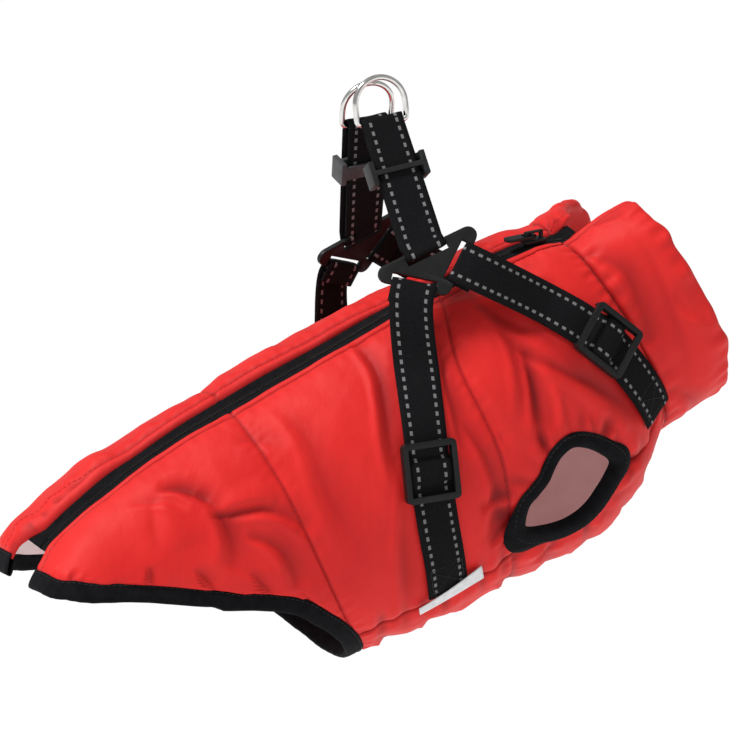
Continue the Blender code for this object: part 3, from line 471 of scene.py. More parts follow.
def two_colours(made, shader, grain, colours):
    """Base colour that wanders between two close colours over a noise."""
    share = object_noise(made, *grain)
    ramp = node(made, "ShaderNodeValToRGB")
    for stop, position, colour in zip(ramp.color_ramp.elements, (0.35, 0.65), colours):
        stop.position = position
        stop.color = (*colour, 1.0)
    link(made, share, ramp.inputs["Fac"])
    link(made, ramp.outputs["Color"], shader.inputs["Base Color"])
    return ramp


def bumps(made, shader, *layers):
    """Bumps one on another, each as (height or noise, strength, depth in metres)."""
    last = None
    for height, strength, depth in layers:
        bump = node(made, "ShaderNodeBump", Strength=strength, Distance=depth)
        if isinstance(height, tuple):
            height = object_noise(made, *height)
        link(made, height, bump.inputs["Height"])
        if last is not None:
            link(made, last, bump.inputs["Normal"])
        last = bump.outputs["Normal"]
    link(made, last, shader.inputs["Normal"])


def mixed(made, share, *colours):
    """The colour between two, each a colour or a socket, by a share from 0 to 1."""
    mix = node(made, "ShaderNodeMix", data_type="RGBA")
    link(made, share, mix.inputs[0])
    sockets = [socket for socket in mix.inputs if socket.type == "RGBA"]
    for socket, colour in zip(sockets, colours):
        if isinstance(colour, tuple):
            socket.default_value = (*colour, 1.0)
        else:
            link(made, colour, socket)
    return next(socket for socket in mix.outputs if socket.type == "RGBA")


def maths(made, operation, first, second=None):
    added = node(made, "ShaderNodeMath", operation=operation)
    for socket, value in zip(added.inputs, (first, second)):
        if isinstance(value, (int, float)):
            socket.default_value = value
        elif value is not None:
            link(made, value, socket)
    return added.outputs["Value"]


def times(colour, share):
    return tuple(c * share for c in colour)


print("finish helpers are ready")


# %% Red cloth, lining and binding
def red_cloth():
    made, shader = new_finish(
        "red_padded_cloth", (0.78, 0.022, 0.02), 0.58, 0.22, sheen_weight=0.08,
        sheen_roughness=0.4, sheen_tint=(1.0, 0.5, 0.45, 1.0),
    )  # fmt: skip
    ramp = two_colours(made, shader, (26, 3.0), ((0.73, 0.018, 0.017), (0.79, 0.024, 0.021)))
    # painted shade: the crease_shade attribute darkens the base colour in folds, seams, stitch
    # lines and gathers
    crease_shade = node(made, "ShaderNodeAttribute", attribute_name="crease_shade")
    deep = mixed(made, crease_shade.outputs["Fac"], ramp.outputs["Color"], (0.20, 0.003, 0.005))
    link(made, deep, shader.inputs["Base Color"])
    crumple, weave = (60, 3.0, 0.6, (1.0, 1.0, 0.55)), (1500, 1.0)
    bumps(made, shader, (crumple, 0.42, 0.0020), (weave, 0.3, 0.00012))
    return made


def pale_cloth():
    # painted light: the pink tint of the colour and the warm emission stand in for light through
    # the red cloth
    made, shader = new_finish(
        "pale_lining", (0.66, 0.54, 0.54), 0.85, 0.2, emission_strength=0.08,
        emission_color=(1.0, 0.42, 0.40, 1.0),
    )  # fmt: skip
    two_colours(made, shader, (40,), ((0.62, 0.49, 0.49), (0.70, 0.60, 0.60)))
    bumps(made, shader, ((70, 3.0), 0.4, 0.0012), ((1300, 2.0), 0.35, 0.0002))
    return made


def black_cloth(name, colour, nap):
    made, shader = new_finish(name, colour, 0.9, 0.06, sheen_weight=0.02)
    two_colours(made, shader, (220, 3.0), (colour, times(colour, 1.5)))
    bumps(made, shader, ((90, 2.0), 0.35, 0.0010), ((nap, 2.0), 0.5, 0.0003))
    return made


RED = red_cloth()
PALE = pale_cloth()
BINDING = black_cloth("black_binding", (0.006, 0.006, 0.007), 900)
TAPE = black_cloth("zip_tape_cloth", (0.007, 0.007, 0.008), 1500)
print("made", RED.name, PALE.name, BINDING.name, TAPE.name)


# %% Webbing with reflective dashes
WEBBING_WIDTH, WEBBING = 25.0, 1.6
MAP_LENGTH = 400.0  # millimetres of strap in one unit of its map
DASH_PITCH, DASH_LONG, DASH_WIDE, DASH_INSET = 5.1, 2.5, 1.7, 4.4
RIB_PITCH, HERRINGBONE_PITCH = 1.1, 1.6


def webbing_cloth():
    made, shader = new_finish("black_webbing", (0.008, 0.008, 0.009), 0.85, 0.08)
    ribbon_map = node(made, "ShaderNodeUVMap", uv_map="cloth_map")
    parts = node(made, "ShaderNodeSeparateXYZ")
    link(made, ribbon_map.outputs["UV"], parts.inputs["Vector"])
    worked = partial(maths, made)
    across = worked("MULTIPLY", parts.outputs["X"], WEBBING_WIDTH)
    along = worked("MULTIPLY", parts.outputs["Y"], MAP_LENGTH)
    off_middle = worked("ABSOLUTE", worked("SUBTRACT", across, WEBBING_WIDTH / 2))
    from_edge = worked("SUBTRACT", WEBBING_WIDTH / 2, off_middle)
    off_row = worked("ABSOLUTE", worked("SUBTRACT", from_edge, DASH_INSET))
    in_row = worked("LESS_THAN", off_row, DASH_WIDE / 2)
    step = worked("FRACT", worked("DIVIDE", along, DASH_PITCH))
    dash = worked("MULTIPLY", in_row, worked("LESS_THAN", step, DASH_LONG / DASH_PITCH))
    blacks = (0.004, 0.004, 0.005), (0.013, 0.013, 0.014)
    black = mixed(made, object_noise(made, 700, 3.0), *blacks)
    link(made, mixed(made, dash, black, (0.21, 0.21, 0.215)), shader.inputs["Base Color"])
    ribs = worked("SINE", worked("MULTIPLY", along, 2 * math.pi / RIB_PITCH))
    herring = worked("SINE", worked("MULTIPLY", across, 2 * math.pi / HERRINGBONE_PITCH))
    weave = worked("MULTIPLY", ribs, herring)
    bumps(made, shader, (weave, 0.45, 0.0002), (dash, 0.7, 0.0004))
    return made


WEB = webbing_cloth()
print("made", WEB.name)


# %% Plastic, steel, label and thread
def plain_finish(name, colour, roughness, specular, grain, colours, *layers, **more):
    made, shader = new_finish(name, colour, roughness, specular, **more)
    ramp = two_colours(made, shader, grain, colours)
    bumps(made, shader, *layers)
    return made, ramp


def moulded_plastic(name, colour, roughness):
    return plain_finish(
        name, colour, roughness, 0.28, (160, 2.0), (colour, times(colour, 1.35)),
        ((1800, 2.0), 0.3, 0.00008), ((120, 1.0), 0.15, 0.0003),
    )[0]  # fmt: skip


def thread(name, colour):
    return plain_finish(
        name, colour, 0.6, 0.25, (900, 2.0), (times(colour, 0.75), colour),
        ((3000, 1.0), 0.4, 0.0001),
    )[0]  # fmt: skip


PLASTIC = moulded_plastic("black_plastic", (0.007, 0.0072, 0.0076), 0.45)
# painted light: a lighter copy of the black plastic for the far handle slider
FAR_PLASTIC = moulded_plastic("far_handle_slider_painted_light_plastic", (0.06, 0.061, 0.065), 0.5)
GREY_PLASTIC = moulded_plastic("grey_black_plastic", (0.013, 0.0135, 0.0145), 0.5)
STEEL, steel_ramp = plain_finish(
    "nickel_plate", (0.78, 0.77, 0.75), 0.16, 0.5, (300, 3.0),
    ((0.70, 0.69, 0.67), (0.82, 0.81, 0.79)), ((900, 3.0), 0.12, 0.00006), metallic=1.0,
)  # fmt: skip
steel_ramp.color_ramp.interpolation = "EASE"
LABEL, _ = plain_finish(
    "blank_label", (0.78, 0.78, 0.79), 0.6, 0.3, (300, 2.0),
    ((0.72, 0.72, 0.73), (0.82, 0.82, 0.83)), ((1500, 2.0), 0.4, 0.00015),
)  # fmt: skip
RED_THREAD = thread("red_thread", (0.62, 0.016, 0.015))
BLACK_THREAD = thread("black_thread", (0.02, 0.02, 0.022))
print("made", PLASTIC.name, STEEL.name, LABEL.name)

# %% [markdown]
# ## Folds
#
# Real folds run from where the cloth is held to where it is free: down from the plate, along the
# straps, into the leg hole and up from the hem. Each is one row here, with its depth, its half
# width and the line it follows. A minus depth is a ridge. The far side gets its own rows, so the
# two sides are alike but not mirror images. A smooth curve through the line, a round trough with
# a soft shoulder on each side and fading ends make a fold look like cloth and not like a groove.

# %% Where the folds lie
CLOTH_PER_DEGREE = 1.3  # millimetres of cloth round the coat

# each row: depth, half width, then (along, degrees from the spine) of each point of its line
RIGHT_FOLDS = [
    (2.4, 5.5, -204, 36, -196, 40, -190, 46, -185, 54),
    (2.3, 7.0, -187, 47, -184, 56, -183, 66, -186, 76, -193, 83),
    (-1.6, 4.5, -190, 58, -180, 60, -170, 61, -160, 63, -152, 67),
    (1.8, 5.0, -180, 64, -170, 66, -159, 69, -150, 75, -142, 84),
    (2.0, 5.5, -176, 74, -167, 80, -162, 88, -164, 98),
    (1.0, 5.0, -222, 33, -210, 40, -202, 45, -195, 52),
    (0.9, 7.0, -153, 35, -140, 40, -130, 50),
    (-1.2, 9.0, -205, 40, -210, 55, -212, 66),
    (1.4, 9.0, -120, 30, -118, 52, -124, 76, -121, 100),
    (2.6, 6.0, -60, 19, -61, 28, -63, 42, -70, 55, -79, 69, -86, 84),
    (1.6, 7.0, -88, 88, -99, 102, -105, 118, -104, 134),
    (2.2, 5.0, -24, 40, -27, 47, -35, 63, -39, 73, -46, 85),
    (1.9, 5.5, -36, 76, -34, 88, -35, 97, -40, 107, -52, 118),
    (2.4, 4.5, 16, 62, 13, 70, 9, 78, 3, 88, 1, 95),
    (2.6, 7.0, 14, 60, 22, 69, 34, 80, 52, 96, 63, 114),
    (1.6, 5.5, 10, 42, 12, 52, 11, 62, 5, 74, -4, 86),
    (-1.4, 5.0, 20, 78, 18, 88, 12, 95),
    (-1.6, 6.0, -18, 60, -16, 76, -12, 92),
    (1.8, 7.0, 9, 30, 16, 47, 32, 63, 47, 80),
    (1.6, 3.0, 22, 84, 18, 93, 15, 99),
    (1.5, 2.6, 33, 92, 31, 99, 29, 104),
    (1.3, 2.6, 46, 104, 42, 109, 38, 113),
    (2.2, 4.0, -52, 121, -42, 117, -30, 112),
    (1.8, 3.5, -50, 104, -38, 103, -24, 106),
    (1.2, 3.0, -270, 40, -272, 48),
    (1.3, 3.0, -231, 66, -236, 74),
    (1.6, 3.5, -210, 76, -205, 86),
    (1.4, 3.0, -184, 86, -178, 96),
    (1.4, 3.2, -160, 102, -166, 108),
    (1.4, 9.0, -40, 12, -10, 22, 30, 30, 58, 34),
]
LEFT_FOLDS = [
    (3.0, 7.5, -204, 34, -196, 46, -196, 60, -203, 76),
    (2.6, 6.0, -170, 50, -164, 66, -166, 82, -178, 98),
    (1.5, 7.0, -238, 34, -228, 44, -226, 54),
    (-1.5, 8.0, -186, 48, -176, 60, -158, 74),
    (1.5, 9.0, -116, 34, -113, 58, -120, 84, -118, 104),
    (2.4, 6.0, -66, 26, -70, 44, -76, 60, -86, 76),
    (1.8, 7.0, -92, 92, -102, 106, -103, 124),
    (2.4, 5.5, -30, 44, -34, 60, -42, 76, -46, 88),
    (2.4, 5.0, -34, 82, -36, 94, -44, 108, -54, 120),
    (2.2, 5.0, 12, 58, 8, 72, 2, 86, 2, 94),
    (2.4, 7.0, 18, 66, 34, 82, 50, 98, 60, 114),
    (-1.4, 6.0, -14, 62, -10, 80, -6, 94),
    (1.6, 7.0, 8, 34, 20, 52, 40, 72),
    (1.5, 3.0, 24, 86, 21, 96),
    (1.4, 2.6, 36, 96, 33, 103),
    (2.0, 4.0, -50, 120, -34, 113),
    (1.4, 3.2, -252, 58, -248, 66),
    (1.6, 3.4, -216, 74, -210, 84),
    (1.4, 3.0, -188, 84, -182, 94),
    (1.5, 9.0, -44, 14, -10, 22, 34, 32),
]
BELLY_FOLDS = [
    (2.0, 6.0, -128, 148, -118, 165, -120, 184),
    (1.8, 6.0, -96, 150, -90, 168, -94, 190, -90, 206),
    (-1.4, 8.0, -70, 156, -72, 180, -66, 200),
    (2.2, 6.0, -50, 146, -40, 160, -42, 180, -48, 204),
    (1.8, 5.0, -22, 140, -14, 154, -16, 172),
    (2.0, 6.0, 6, 144, 12, 160, 8, 182, 2, 208),
    (1.6, 5.0, 34, 136, 38, 152, 36, 176, 40, 204),
    (1.8, 6.0, 58, 140, 62, 160, 60, 186, 64, 212),
    (1.3, 4.0, -118, 206, -108, 214),
    (1.2, 3.5, -138, 160, -130, 163),
    (1.2, 3.5, -138, 196, -129, 192),
]
COLLAR_FOLDS = [
    (1.8, 8.0, 84, 36, 95, 60, 94, 80, 90, 100),
    (-1.2, 10.0, 116, 40, 120, 70, 118, 104, 115, 128),
    (1.4, 7.0, 90, 120, 104, 140, 108, 166),
    (1.2, 6.0, 112, 86, 121, 92, 128, 95),
    (1.3, 5.0, 98, 18, 108, 26, 116, 30),
    (1.6, 8.0, 88, 200, 100, 224, 98, 256),
    (1.6, 8.0, 86, 330, 94, 305, 95, 280),
    (-1.2, 9.0, 112, 322, 118, 290, 117, 250),
    (1.2, 6.0, 108, 236, 120, 230, 128, 228),
    (1.2, 5.0, 96, 344, 104, 334, 110, 328),
]

def fold_lines(rows, mirror):
    """Each fold as its depth, its half width and points on its smooth line."""
    for depth, width, *numbers in rows:
        points = np.reshape(numbers, (-1, 2))
        if mirror:
            points = (0, 360) + points * (1, -1)
        along, around = on_curve(points, np.linspace(0, len(points) - 1, 18))
        yield depth, width, np.stack([along, around * CLOTH_PER_DEGREE], axis=1)


FOLDS = [
    *fold_lines(RIGHT_FOLDS + BELLY_FOLDS + COLLAR_FOLDS, False),
    *fold_lines(LEFT_FOLDS, True),
]
print(len(FOLDS), "folds")

# %% Height of the cloth at any place
def near_line(spots, line):
    """Signed distance to a line and the share of its length at the nearest point."""
    run = run_along(line)
    nearest = np.full(len(spots), 1e9)
    signed, share = nearest.copy(), np.zeros(len(spots))
    for start, end, begun in zip(line, line[1:], run):
        length = np.linalg.norm(end - start)
        dx, dy = (end - start) / length
        x, y = (spots - start).T
        t = np.clip(x * dx + y * dy, 0, length)
        gone = np.hypot(x - t * dx, y - t * dy)
        closer = gone < nearest
        nearest = np.where(closer, gone, nearest)
        side = np.where(x * dy - y * dx > 0, 1.0, -1.0)
        signed = np.where(closer, gone * side, signed)
        share = np.where(closer, (begun + t) / run[-1], share)
    return signed, share


def folds(along, around):
    """How far all the folds together move the cloth, in millimetres."""
    around = np.mod(around, 360)
    around = np.where(around > 352, around - 360, around)
    spots = np.stack([along, around * CLOTH_PER_DEGREE], axis=-1)
    total = np.zeros(along.shape)
    for depth, width, path in FOLDS:
        low, high = path.min(axis=0) - 4 * width, path.max(axis=0) + 4 * width
        inside = ((spots > low) & (spots < high)).all(axis=-1)
        if not inside.any():
            continue
        signed, share = near_line(spots[inside], path)
        fade = np.sin(np.pi * clip01(share)) ** 0.6
        opens = width * (0.65 + 0.7 * share)
        across = np.abs(signed) / np.where(signed > 0, opens * 1.35, opens * 0.55)
        trough = np.exp(-(across**1.3))
        shoulder = np.exp(-((across - 1.75) ** 2) / 0.45) * np.where(signed > 0, 0.16, 0.55)
        total[inside] -= 1.45 * depth * fade * (trough - shoulder)
    return total


def crumples(points, size, seed=0.0):
    """A soft uneven value from -1 to 1 at each point, with features of this size."""
    flat = points.reshape(-1, 3) / size + seed
    return np.array([noise.noise(Vector(p)) for p in flat]).reshape(points.shape[:-1])


def puckers(distance, run, reach, pitch, seed):
    """Small gathers that a row of stitches pulls into the cloth beside it."""
    turn = 2 * math.pi * run / pitch
    wave = 0.55 * np.sin(turn + seed) + 0.45 * np.sin(turn / 1.63 + 2.1 * seed + 1.0)
    return wave * bell(distance, reach)


def leg_outline(widen, count):
    """The rim of the right leg hole, moved out along the cloth, as (along, around)."""
    ring = LEG_HOLE + LEG_HOLE[:3]
    at = np.linspace(1, len(LEG_HOLE) + 1, count, endpoint=False)
    along, around = on_curve(ring, at)
    here, ahead = plain(along, around), plain(*on_curve(ring, at + 0.05))
    away = unit(np.cross(ahead - here, outward(along, around)))
    away *= np.sign(((here - plain(*LEG_MIDDLE)) * away).sum(-1))[:, None]
    moved = here + away * (np.zeros(count) + widen)[:, None]
    return moved[:, 0], around_of(moved)


def distance_to(points, path):
    """Distance in millimetres from each point to the nearest point of a path."""
    best = np.full(points.shape[:-1], 1e12)
    for spot in path:
        best = np.minimum(best, ((points - spot) ** 2).sum(-1))
    return np.sqrt(best)


LEG_RIM = np.stack(leg_outline(0.0, 160), axis=1)


def to_leg_hole(along, around):
    """Distance outside a leg hole's rim, and the angle round its middle."""
    turn = half_turn(around)
    distance = distance_to(plain(along, turn), plain(*LEG_RIM.T))
    crossings = np.zeros(along.shape, int)
    for (ax, ay), (bx, by) in zip(LEG_RIM, np.roll(LEG_RIM, -1, axis=0)):
        spans = (ay > turn) != (by > turn)
        crossings += spans & (along < ax + (turn - ay) * (bx - ax) / (by - ay + 1e-12))
    middle_along, middle_around = LEG_MIDDLE
    way = np.arctan2((turn - middle_around) * CLOTH_PER_DEGREE, along - middle_along)
    return np.where(crossings % 2 == 1, -distance, distance), way


print("the cloth's height is ready; a leg hole's rim has", len(LEG_RIM), "points")

# %% [markdown]
# ## Padded panels
#
# Each panel is a fine grid laid between its own seams, so that a row of points follows every
# seam and stitches can sink into it. The cloth is low at a seam and full between two seams. A
# cloth simulation would swell the panels evenly and lose the folds the straps cause, so the
# height is worked out place by place: wadding, folds, puckers, crumples, and then a limit where
# a strap or a binding lies on it. The inner side stays smooth, against the lining.

# %% Where the straps lie on the coat
# the middle line of each right strap, as (along, degrees from the spine)
STRAPS = {
    "girth": [
        (-44, 50), (-52, 61), (-59, 71), (-66, 81), (-72, 91), (-77, 102), (-80, 113),
        (-82, 124), (-83, 132),
    ],
    "chest": [(45, 56), (53, 67), (61, 79), (68, 90), (72, 101), (75, 113), (76, 122)],
}  # fmt: skip
LEFT_STRAP_BACK = 7.0  # how much nearer the tail a left strap begins


def strap_path(name, side, count):
    """(along, around) at many places of a strap's middle line, on the right side."""
    rows = STRAPS[name]
    if side == "left":
        last = rows[-1][1]
        rows = [(at - LEFT_STRAP_BACK * (last - turn) / last, turn) for at, turn in rows]
    return on_curve(rows, np.linspace(0, len(rows) - 1, count))


def under_straps(along, around):
    """Distance to the middle of the nearest strap on the same side."""
    turn = half_turn(around)
    here = plain(along, turn)
    nearest = np.full(along.shape, 1e9)
    for side in SIDES:
        own = (np.mod(around, 360) <= 180) == (side == "right")
        for name in STRAPS:
            away = distance_to(here, plain(*strap_path(name, side, 60)))
            nearest = np.where(own, np.minimum(nearest, away), nearest)
    return nearest


print({name: len(knots) for name, knots in STRAPS.items()}, "knots in the straps")


# %% Height of a padded panel
ZIP_STITCHES = 5.0  # from the zip edge to its row of stitches


def grid_runs(along, around):
    """Distance along the rows and along the columns of a grid, from both of its ends."""
    here = plain(along, around)
    down = np.stack([run_along(column) for column in np.moveaxis(here, 1, 0)], axis=1)
    over = np.stack([run_along(row) for row in here])
    return down, down[-1:] - down, over, over[:, -1:] - over


def padded_height(along, around, zip_run, seam_run, hem_run, neck_run):
    """Height of the red cloth above the plain surface, leg distance and painted crease shade."""
    here = plain(along, around)
    round_run = around * CLOTH_PER_DEGREE
    full, bent = wadding(along, around), folds(along, around)
    fill = 0.22 + 0.78 * np.sin(clip01((zip_run - ZIP_STITCHES) / 8) * math.pi / 2) ** 0.8
    fill *= 0.35 + 0.65 * np.sin(clip01(seam_run / 9) * math.pi / 2)
    height = full * fill * 1.35 + bent
    height += 0.55 * bell(zip_run - 2.4, 1.8) - bell(zip_run - ZIP_STITCHES, 0.8)
    # painted shade in the folds and along the zip's row of stitches
    crease_shade = 0.9 * clip01(-bent / 4.2) ** 1.3 + 0.55 * bell(zip_run - ZIP_STITCHES, 0.9)

    # gathers along the zip, the hem, the neck and, on the left, a slower one beside the zip
    height += puckers(zip_run - 9, along, 4.5, 7.5, 0.4) * 0.4
    height += puckers(hem_run - 3.5, round_run, 5.0, 9.0, 2.3) * 0.5
    height += puckers(neck_run - 3, round_run, 5.0, 9.0, 3.1) * 0.7
    left = np.mod(around, 360) > 180
    height += np.where(left, puckers(zip_run - 15, along, 9.0, 17.0, 5.0) * 1.2, 0.0)

    # uneven gathers along the belly seam and round the leg hole, whose hollows also get painted
    # shade
    leg_run, leg_way = to_leg_hole(along, around)
    leg_pull = puckers(leg_run - 15, leg_way * 24, 7.5, 9.5, 0.9)
    leg_ruffle = 1.0 + 0.9 * crumples(here, 26.0, 31.0)
    seam_pull = puckers(seam_run - 4.5, along, 8.0, 13.0, 1.7)
    seam_ruffle = 1.0 + crumples(here, 40.0, 20.0)
    height += 1.6 * leg_pull * leg_ruffle + 1.35 * seam_pull * seam_ruffle
    crease_shade += 0.6 * (clip01(-leg_pull) * leg_ruffle + clip01(-seam_pull) * seam_ruffle)

    for line, seed in ((REAR_QUILTING, 0.7), (SHOULDER_QUILTING, 4.2)):
        off = along - line_round(line, around)
        gather = puckers(np.abs(off) - 3.5, round_run + 0.25 * off, 4.5, 6.3, seed) * 0.5
        height += gather * (0.5 + 0.7 * crumples(here, 14.0, seed + 2.0)) - 0.9 * bell(off, 0.9)
        # painted shade along the quilting line
        crease_shade += 0.5 * bell(off, 0.9)
    height += crumples(here, 30.0, 3.0) + crumples(here * (1, 1, 0.6), 13.0, 8.0) * 0.5
    height += crumples(here, 6.0, 12.0) * 0.14

    # what lies on the cloth presses it down
    strap_run = under_straps(along, around)
    height += 0.6 * bell(strap_run - 18, 4) - 0.8 * np.exp(-((strap_run / 13) ** 6))
    hold = np.maximum(clip01((22 - strap_run) / 7), clip01((15 - leg_run) / 4))
    highest = full * np.maximum(fill, 0.7) + 0.2
    height -= np.maximum(height - highest, 0) * hold
    edge = np.minimum(np.minimum(zip_run, seam_run), np.minimum(hem_run, neck_run))
    height -= 0.9 * clip01(1 - edge / 1.2) ** 2
    height -= np.maximum(height + 0.3, 0) * clip01((4.0 - hem_run) / 2.5)
    lowest = -1.1
    soft = np.log1p(np.exp((height - lowest) * 4)) / 4 + lowest
    # painted shade along the panel's edges
    crease_shade += 0.5 * bell(edge, 1.3)
    return soft + side_lift(along, around), leg_run, clip01(crease_shade)


print("padded_height is ready")


# %% Grids between the seams
def hem_line(around, inwards):
    """The hem moved inwards along the cloth, square to the hem's own direction."""
    at = line_round(HEM, around)
    ahead, behind = around + 1.0, around - 1.0
    run = unit(plain(line_round(HEM, ahead), ahead) - plain(line_round(HEM, behind), behind))
    lengthwise = plain(at + 1.0, around) - plain(at, around)
    slant = np.abs((np.cross(outward(at, around), run) * lengthwise).sum(-1))
    return at + inwards / np.maximum(slant, 0.4)


def panel_lines(around):
    """Where the hem's edge, the two quilting lines and the neck seam are at this turn."""
    start = hem_line(around, 2.8)
    rear = np.maximum(line_round(REAR_QUILTING, around), start + 2.0)
    shoulder = line_round(SHOULDER_QUILTING, around)
    return np.stack([start, rear, shoulder, line_round(NECK_SEAM, around) - GAP / 2])


def seam_limits(along, which):
    """The two seams beside a panel, in degrees, with a left panel seen from the right."""
    seam = smooth(BELLY_SEAM, along)
    if which == "belly":
        return seam + GAP / 2, 360 - seam - GAP / 2
    turn = turn_of(along, zip_edge(along, which))
    return (-turn if which == "left" else turn), seam - GAP / 2


def panel_grid(rows, columns, which):
    """(along, around) between the hem, the two quilting lines, the neck and two seams."""
    row, share = np.meshgrid(rows, columns, indexing="ij")
    band = np.clip(row.astype(int), 0, 2)
    along = np.interp(row, [0, 3], [-240, 82])
    around = np.full(row.shape, 70.0)
    for _ in range(40):
        first, last = seam_limits(along, which)
        around = 0.5 * around + 0.5 * (first + (last - first) * share)
        at = panel_lines(around)
        start, end = (np.take_along_axis(at, band[None] + k, 0)[0] for k in (0, 1))
        along = 0.5 * along + 0.5 * (start + (end - start) * (row - band))
    return along, around


def cut_leg_holes(along, around, leg_run, widen):
    """The cells that stay, with the points beside a hole moved onto its cutting line."""
    corners = (leg_run[:-1, :-1] + leg_run[1:, :-1] + leg_run[1:, 1:] + leg_run[:-1, 1:]) / 4
    keep = corners > widen
    beside, gone = np.zeros(along.shape, bool), np.zeros(along.shape, bool)
    for i in (0, 1):
        for j in (0, 1):
            window = (slice(i, i + keep.shape[0]), slice(j, j + keep.shape[1]))
            beside[window] |= keep
            gone[window] |= ~keep
    rim_along, rim_around = leg_outline(widen, 240)
    rim = plain(rim_along, rim_around)
    for spot in map(tuple, np.argwhere(beside & gone)):
        here = plain(along[spot], half_turn(around[spot]))
        nearest = np.argmin(((rim - here) ** 2).sum(-1))
        along[spot] = rim_along[nearest]
        far_side = np.mod(around[spot], 360) > 180
        around[spot] = 360 - rim_around[nearest] if far_side else rim_around[nearest]
    return keep


FINE_ROWS = np.concatenate(
    [np.linspace(0, 1, 84)[:-1], np.linspace(1, 2, 84)[:-1], np.linspace(2, 3, 58)]
)
COARSE_ROWS = np.append(FINE_ROWS[:-1:2], FINE_ROWS[-1])
print(len(FINE_ROWS), "rows in each back panel,", len(COARSE_ROWS), "in the others")


# %% The back panels and the belly panel
LEG_CUT = 3.0  # how far outside a leg hole's rim the cloth ends, under the binding


def padded_panel(which, name, node_name, rows, columns):
    """Makes a red panel and returns its grid, its height and how far off the leg hole is."""
    along, around = panel_grid(rows, columns, which)
    hem_run, neck_run, zip_run, seam_run = grid_runs(along, around)
    if which == "left":
        around = 360 - around
    if which == "belly":
        zip_run, seam_run = np.full(along.shape, 60.0), np.minimum(zip_run, seam_run)
    height, leg_run, crease_shade = padded_height(
        along, around, zip_run, seam_run, hem_run, neck_run
    )
    keep = cut_leg_holes(along, around, leg_run, LEG_CUT)
    under = side_lift(along, around) - SHELL
    piece = cloth_wall(name, along, around, (height, under), keep, crease_shade)
    ride(piece, RED, [node_name], "coat_cloth")
    print(f"{name}: height {height.min():.1f} to {height.max():.1f} mm")
    return along, around, height, leg_run


back_columns = np.interp(np.arange(112), [0, 18, 111], [0, 0.072, 1])
surface = {
    side: padded_panel(
        side, f"padded_back_{side}", f"back_panel_{side}", FINE_ROWS, back_columns
    )
    for side in SIDES
}
surface["belly"] = padded_panel(
    "belly", "padded_belly", "belly_panel", COARSE_ROWS, np.linspace(0, 1, 84)
)

# %% [markdown]
# ## Lining
#
# The lining is a thin pale cloth of its own, just under the red one. It shows through the leg
# holes, at the tail and in the neck. It is a closed sheet 0.6 mm thick that is looser than the
# outer cloth, so it gets its own soft waves towards the inside.

# %% Lining sheets
def lining(which, columns):
    along, around = panel_grid(COARSE_ROWS, columns, which)
    hem_run, neck_run, first_run, second_run = grid_runs(along, around)
    if which == "left":
        around = 360 - around
    leg_run, _ = to_leg_hole(along, around)
    keep = cut_leg_holes(along, around, leg_run, LEG_CUT)
    edge = np.minimum(np.minimum(hem_run, neck_run), np.minimum(first_run, second_run))
    here = plain(along, around)
    wave = 0.9 * (1 + crumples(here, 22.0, 5.0)) + 0.3 * (1 + crumples(here, 9.0))
    loose = clip01(np.minimum(edge, leg_run) / 12)
    upper = side_lift(along, around) - SHELL - GAP - wave * loose
    piece = cloth_wall(f"pale_lining_{which}", along, around, (upper, upper - 0.6), keep)
    ride(piece, PALE, [f"lining_{which}"], "lining_cloth")
    declare_sheet(piece, first_run[:, -1].max(), hem_run[-1].max())


for side in SIDES:
    lining(side, np.linspace(0.012, 1, 60))
lining("belly", np.linspace(0, 1, 50))

# %% [markdown]
# ## Collar
#
# The collar is one padded strip that stands up round the neck. Its outer and inner faces meet in
# a soft round rim, and the rim is a little uneven because the wadding is thicker in places. It is
# made as one wall whose thickness runs out in a half circle at the rim.

# %% The padded collar
RIM_ROUND = 4.6  # how far from the rim the collar's thickness starts to run out


def collar_grid():
    """A grid from the neck seam to the uneven rim, with rows close together at the rim."""
    rows = np.linspace(0, 0.89, 34)[:-1]
    rows = np.concatenate([rows, 0.89 + 0.11 * np.sin(np.linspace(0, math.pi / 2, 15))])
    row, share = np.meshgrid(rows, np.linspace(0, 1, 300), indexing="ij")
    along = 84 + 40 * row
    for _ in range(30):
        first, last = (turn_of(along, zip_edge(along, side)) for side in SIDES)
        around = first + (360 + last - first) * share
        start = line_round(NECK_SEAM, around) + GAP / 2
        turn = np.radians(around)
        bumpy = np.sin(turn * 7 + 0.6) + 0.8 * np.sin(turn * 12 + 2) + 0.5 * np.sin(turn * 19 + 1)
        rim = smooth(COLLAR_RIM, np.clip(around, 0, 360)) + bumpy * 0.8 - 0.5
        along = start + (rim - start) * row
    return row, along, around


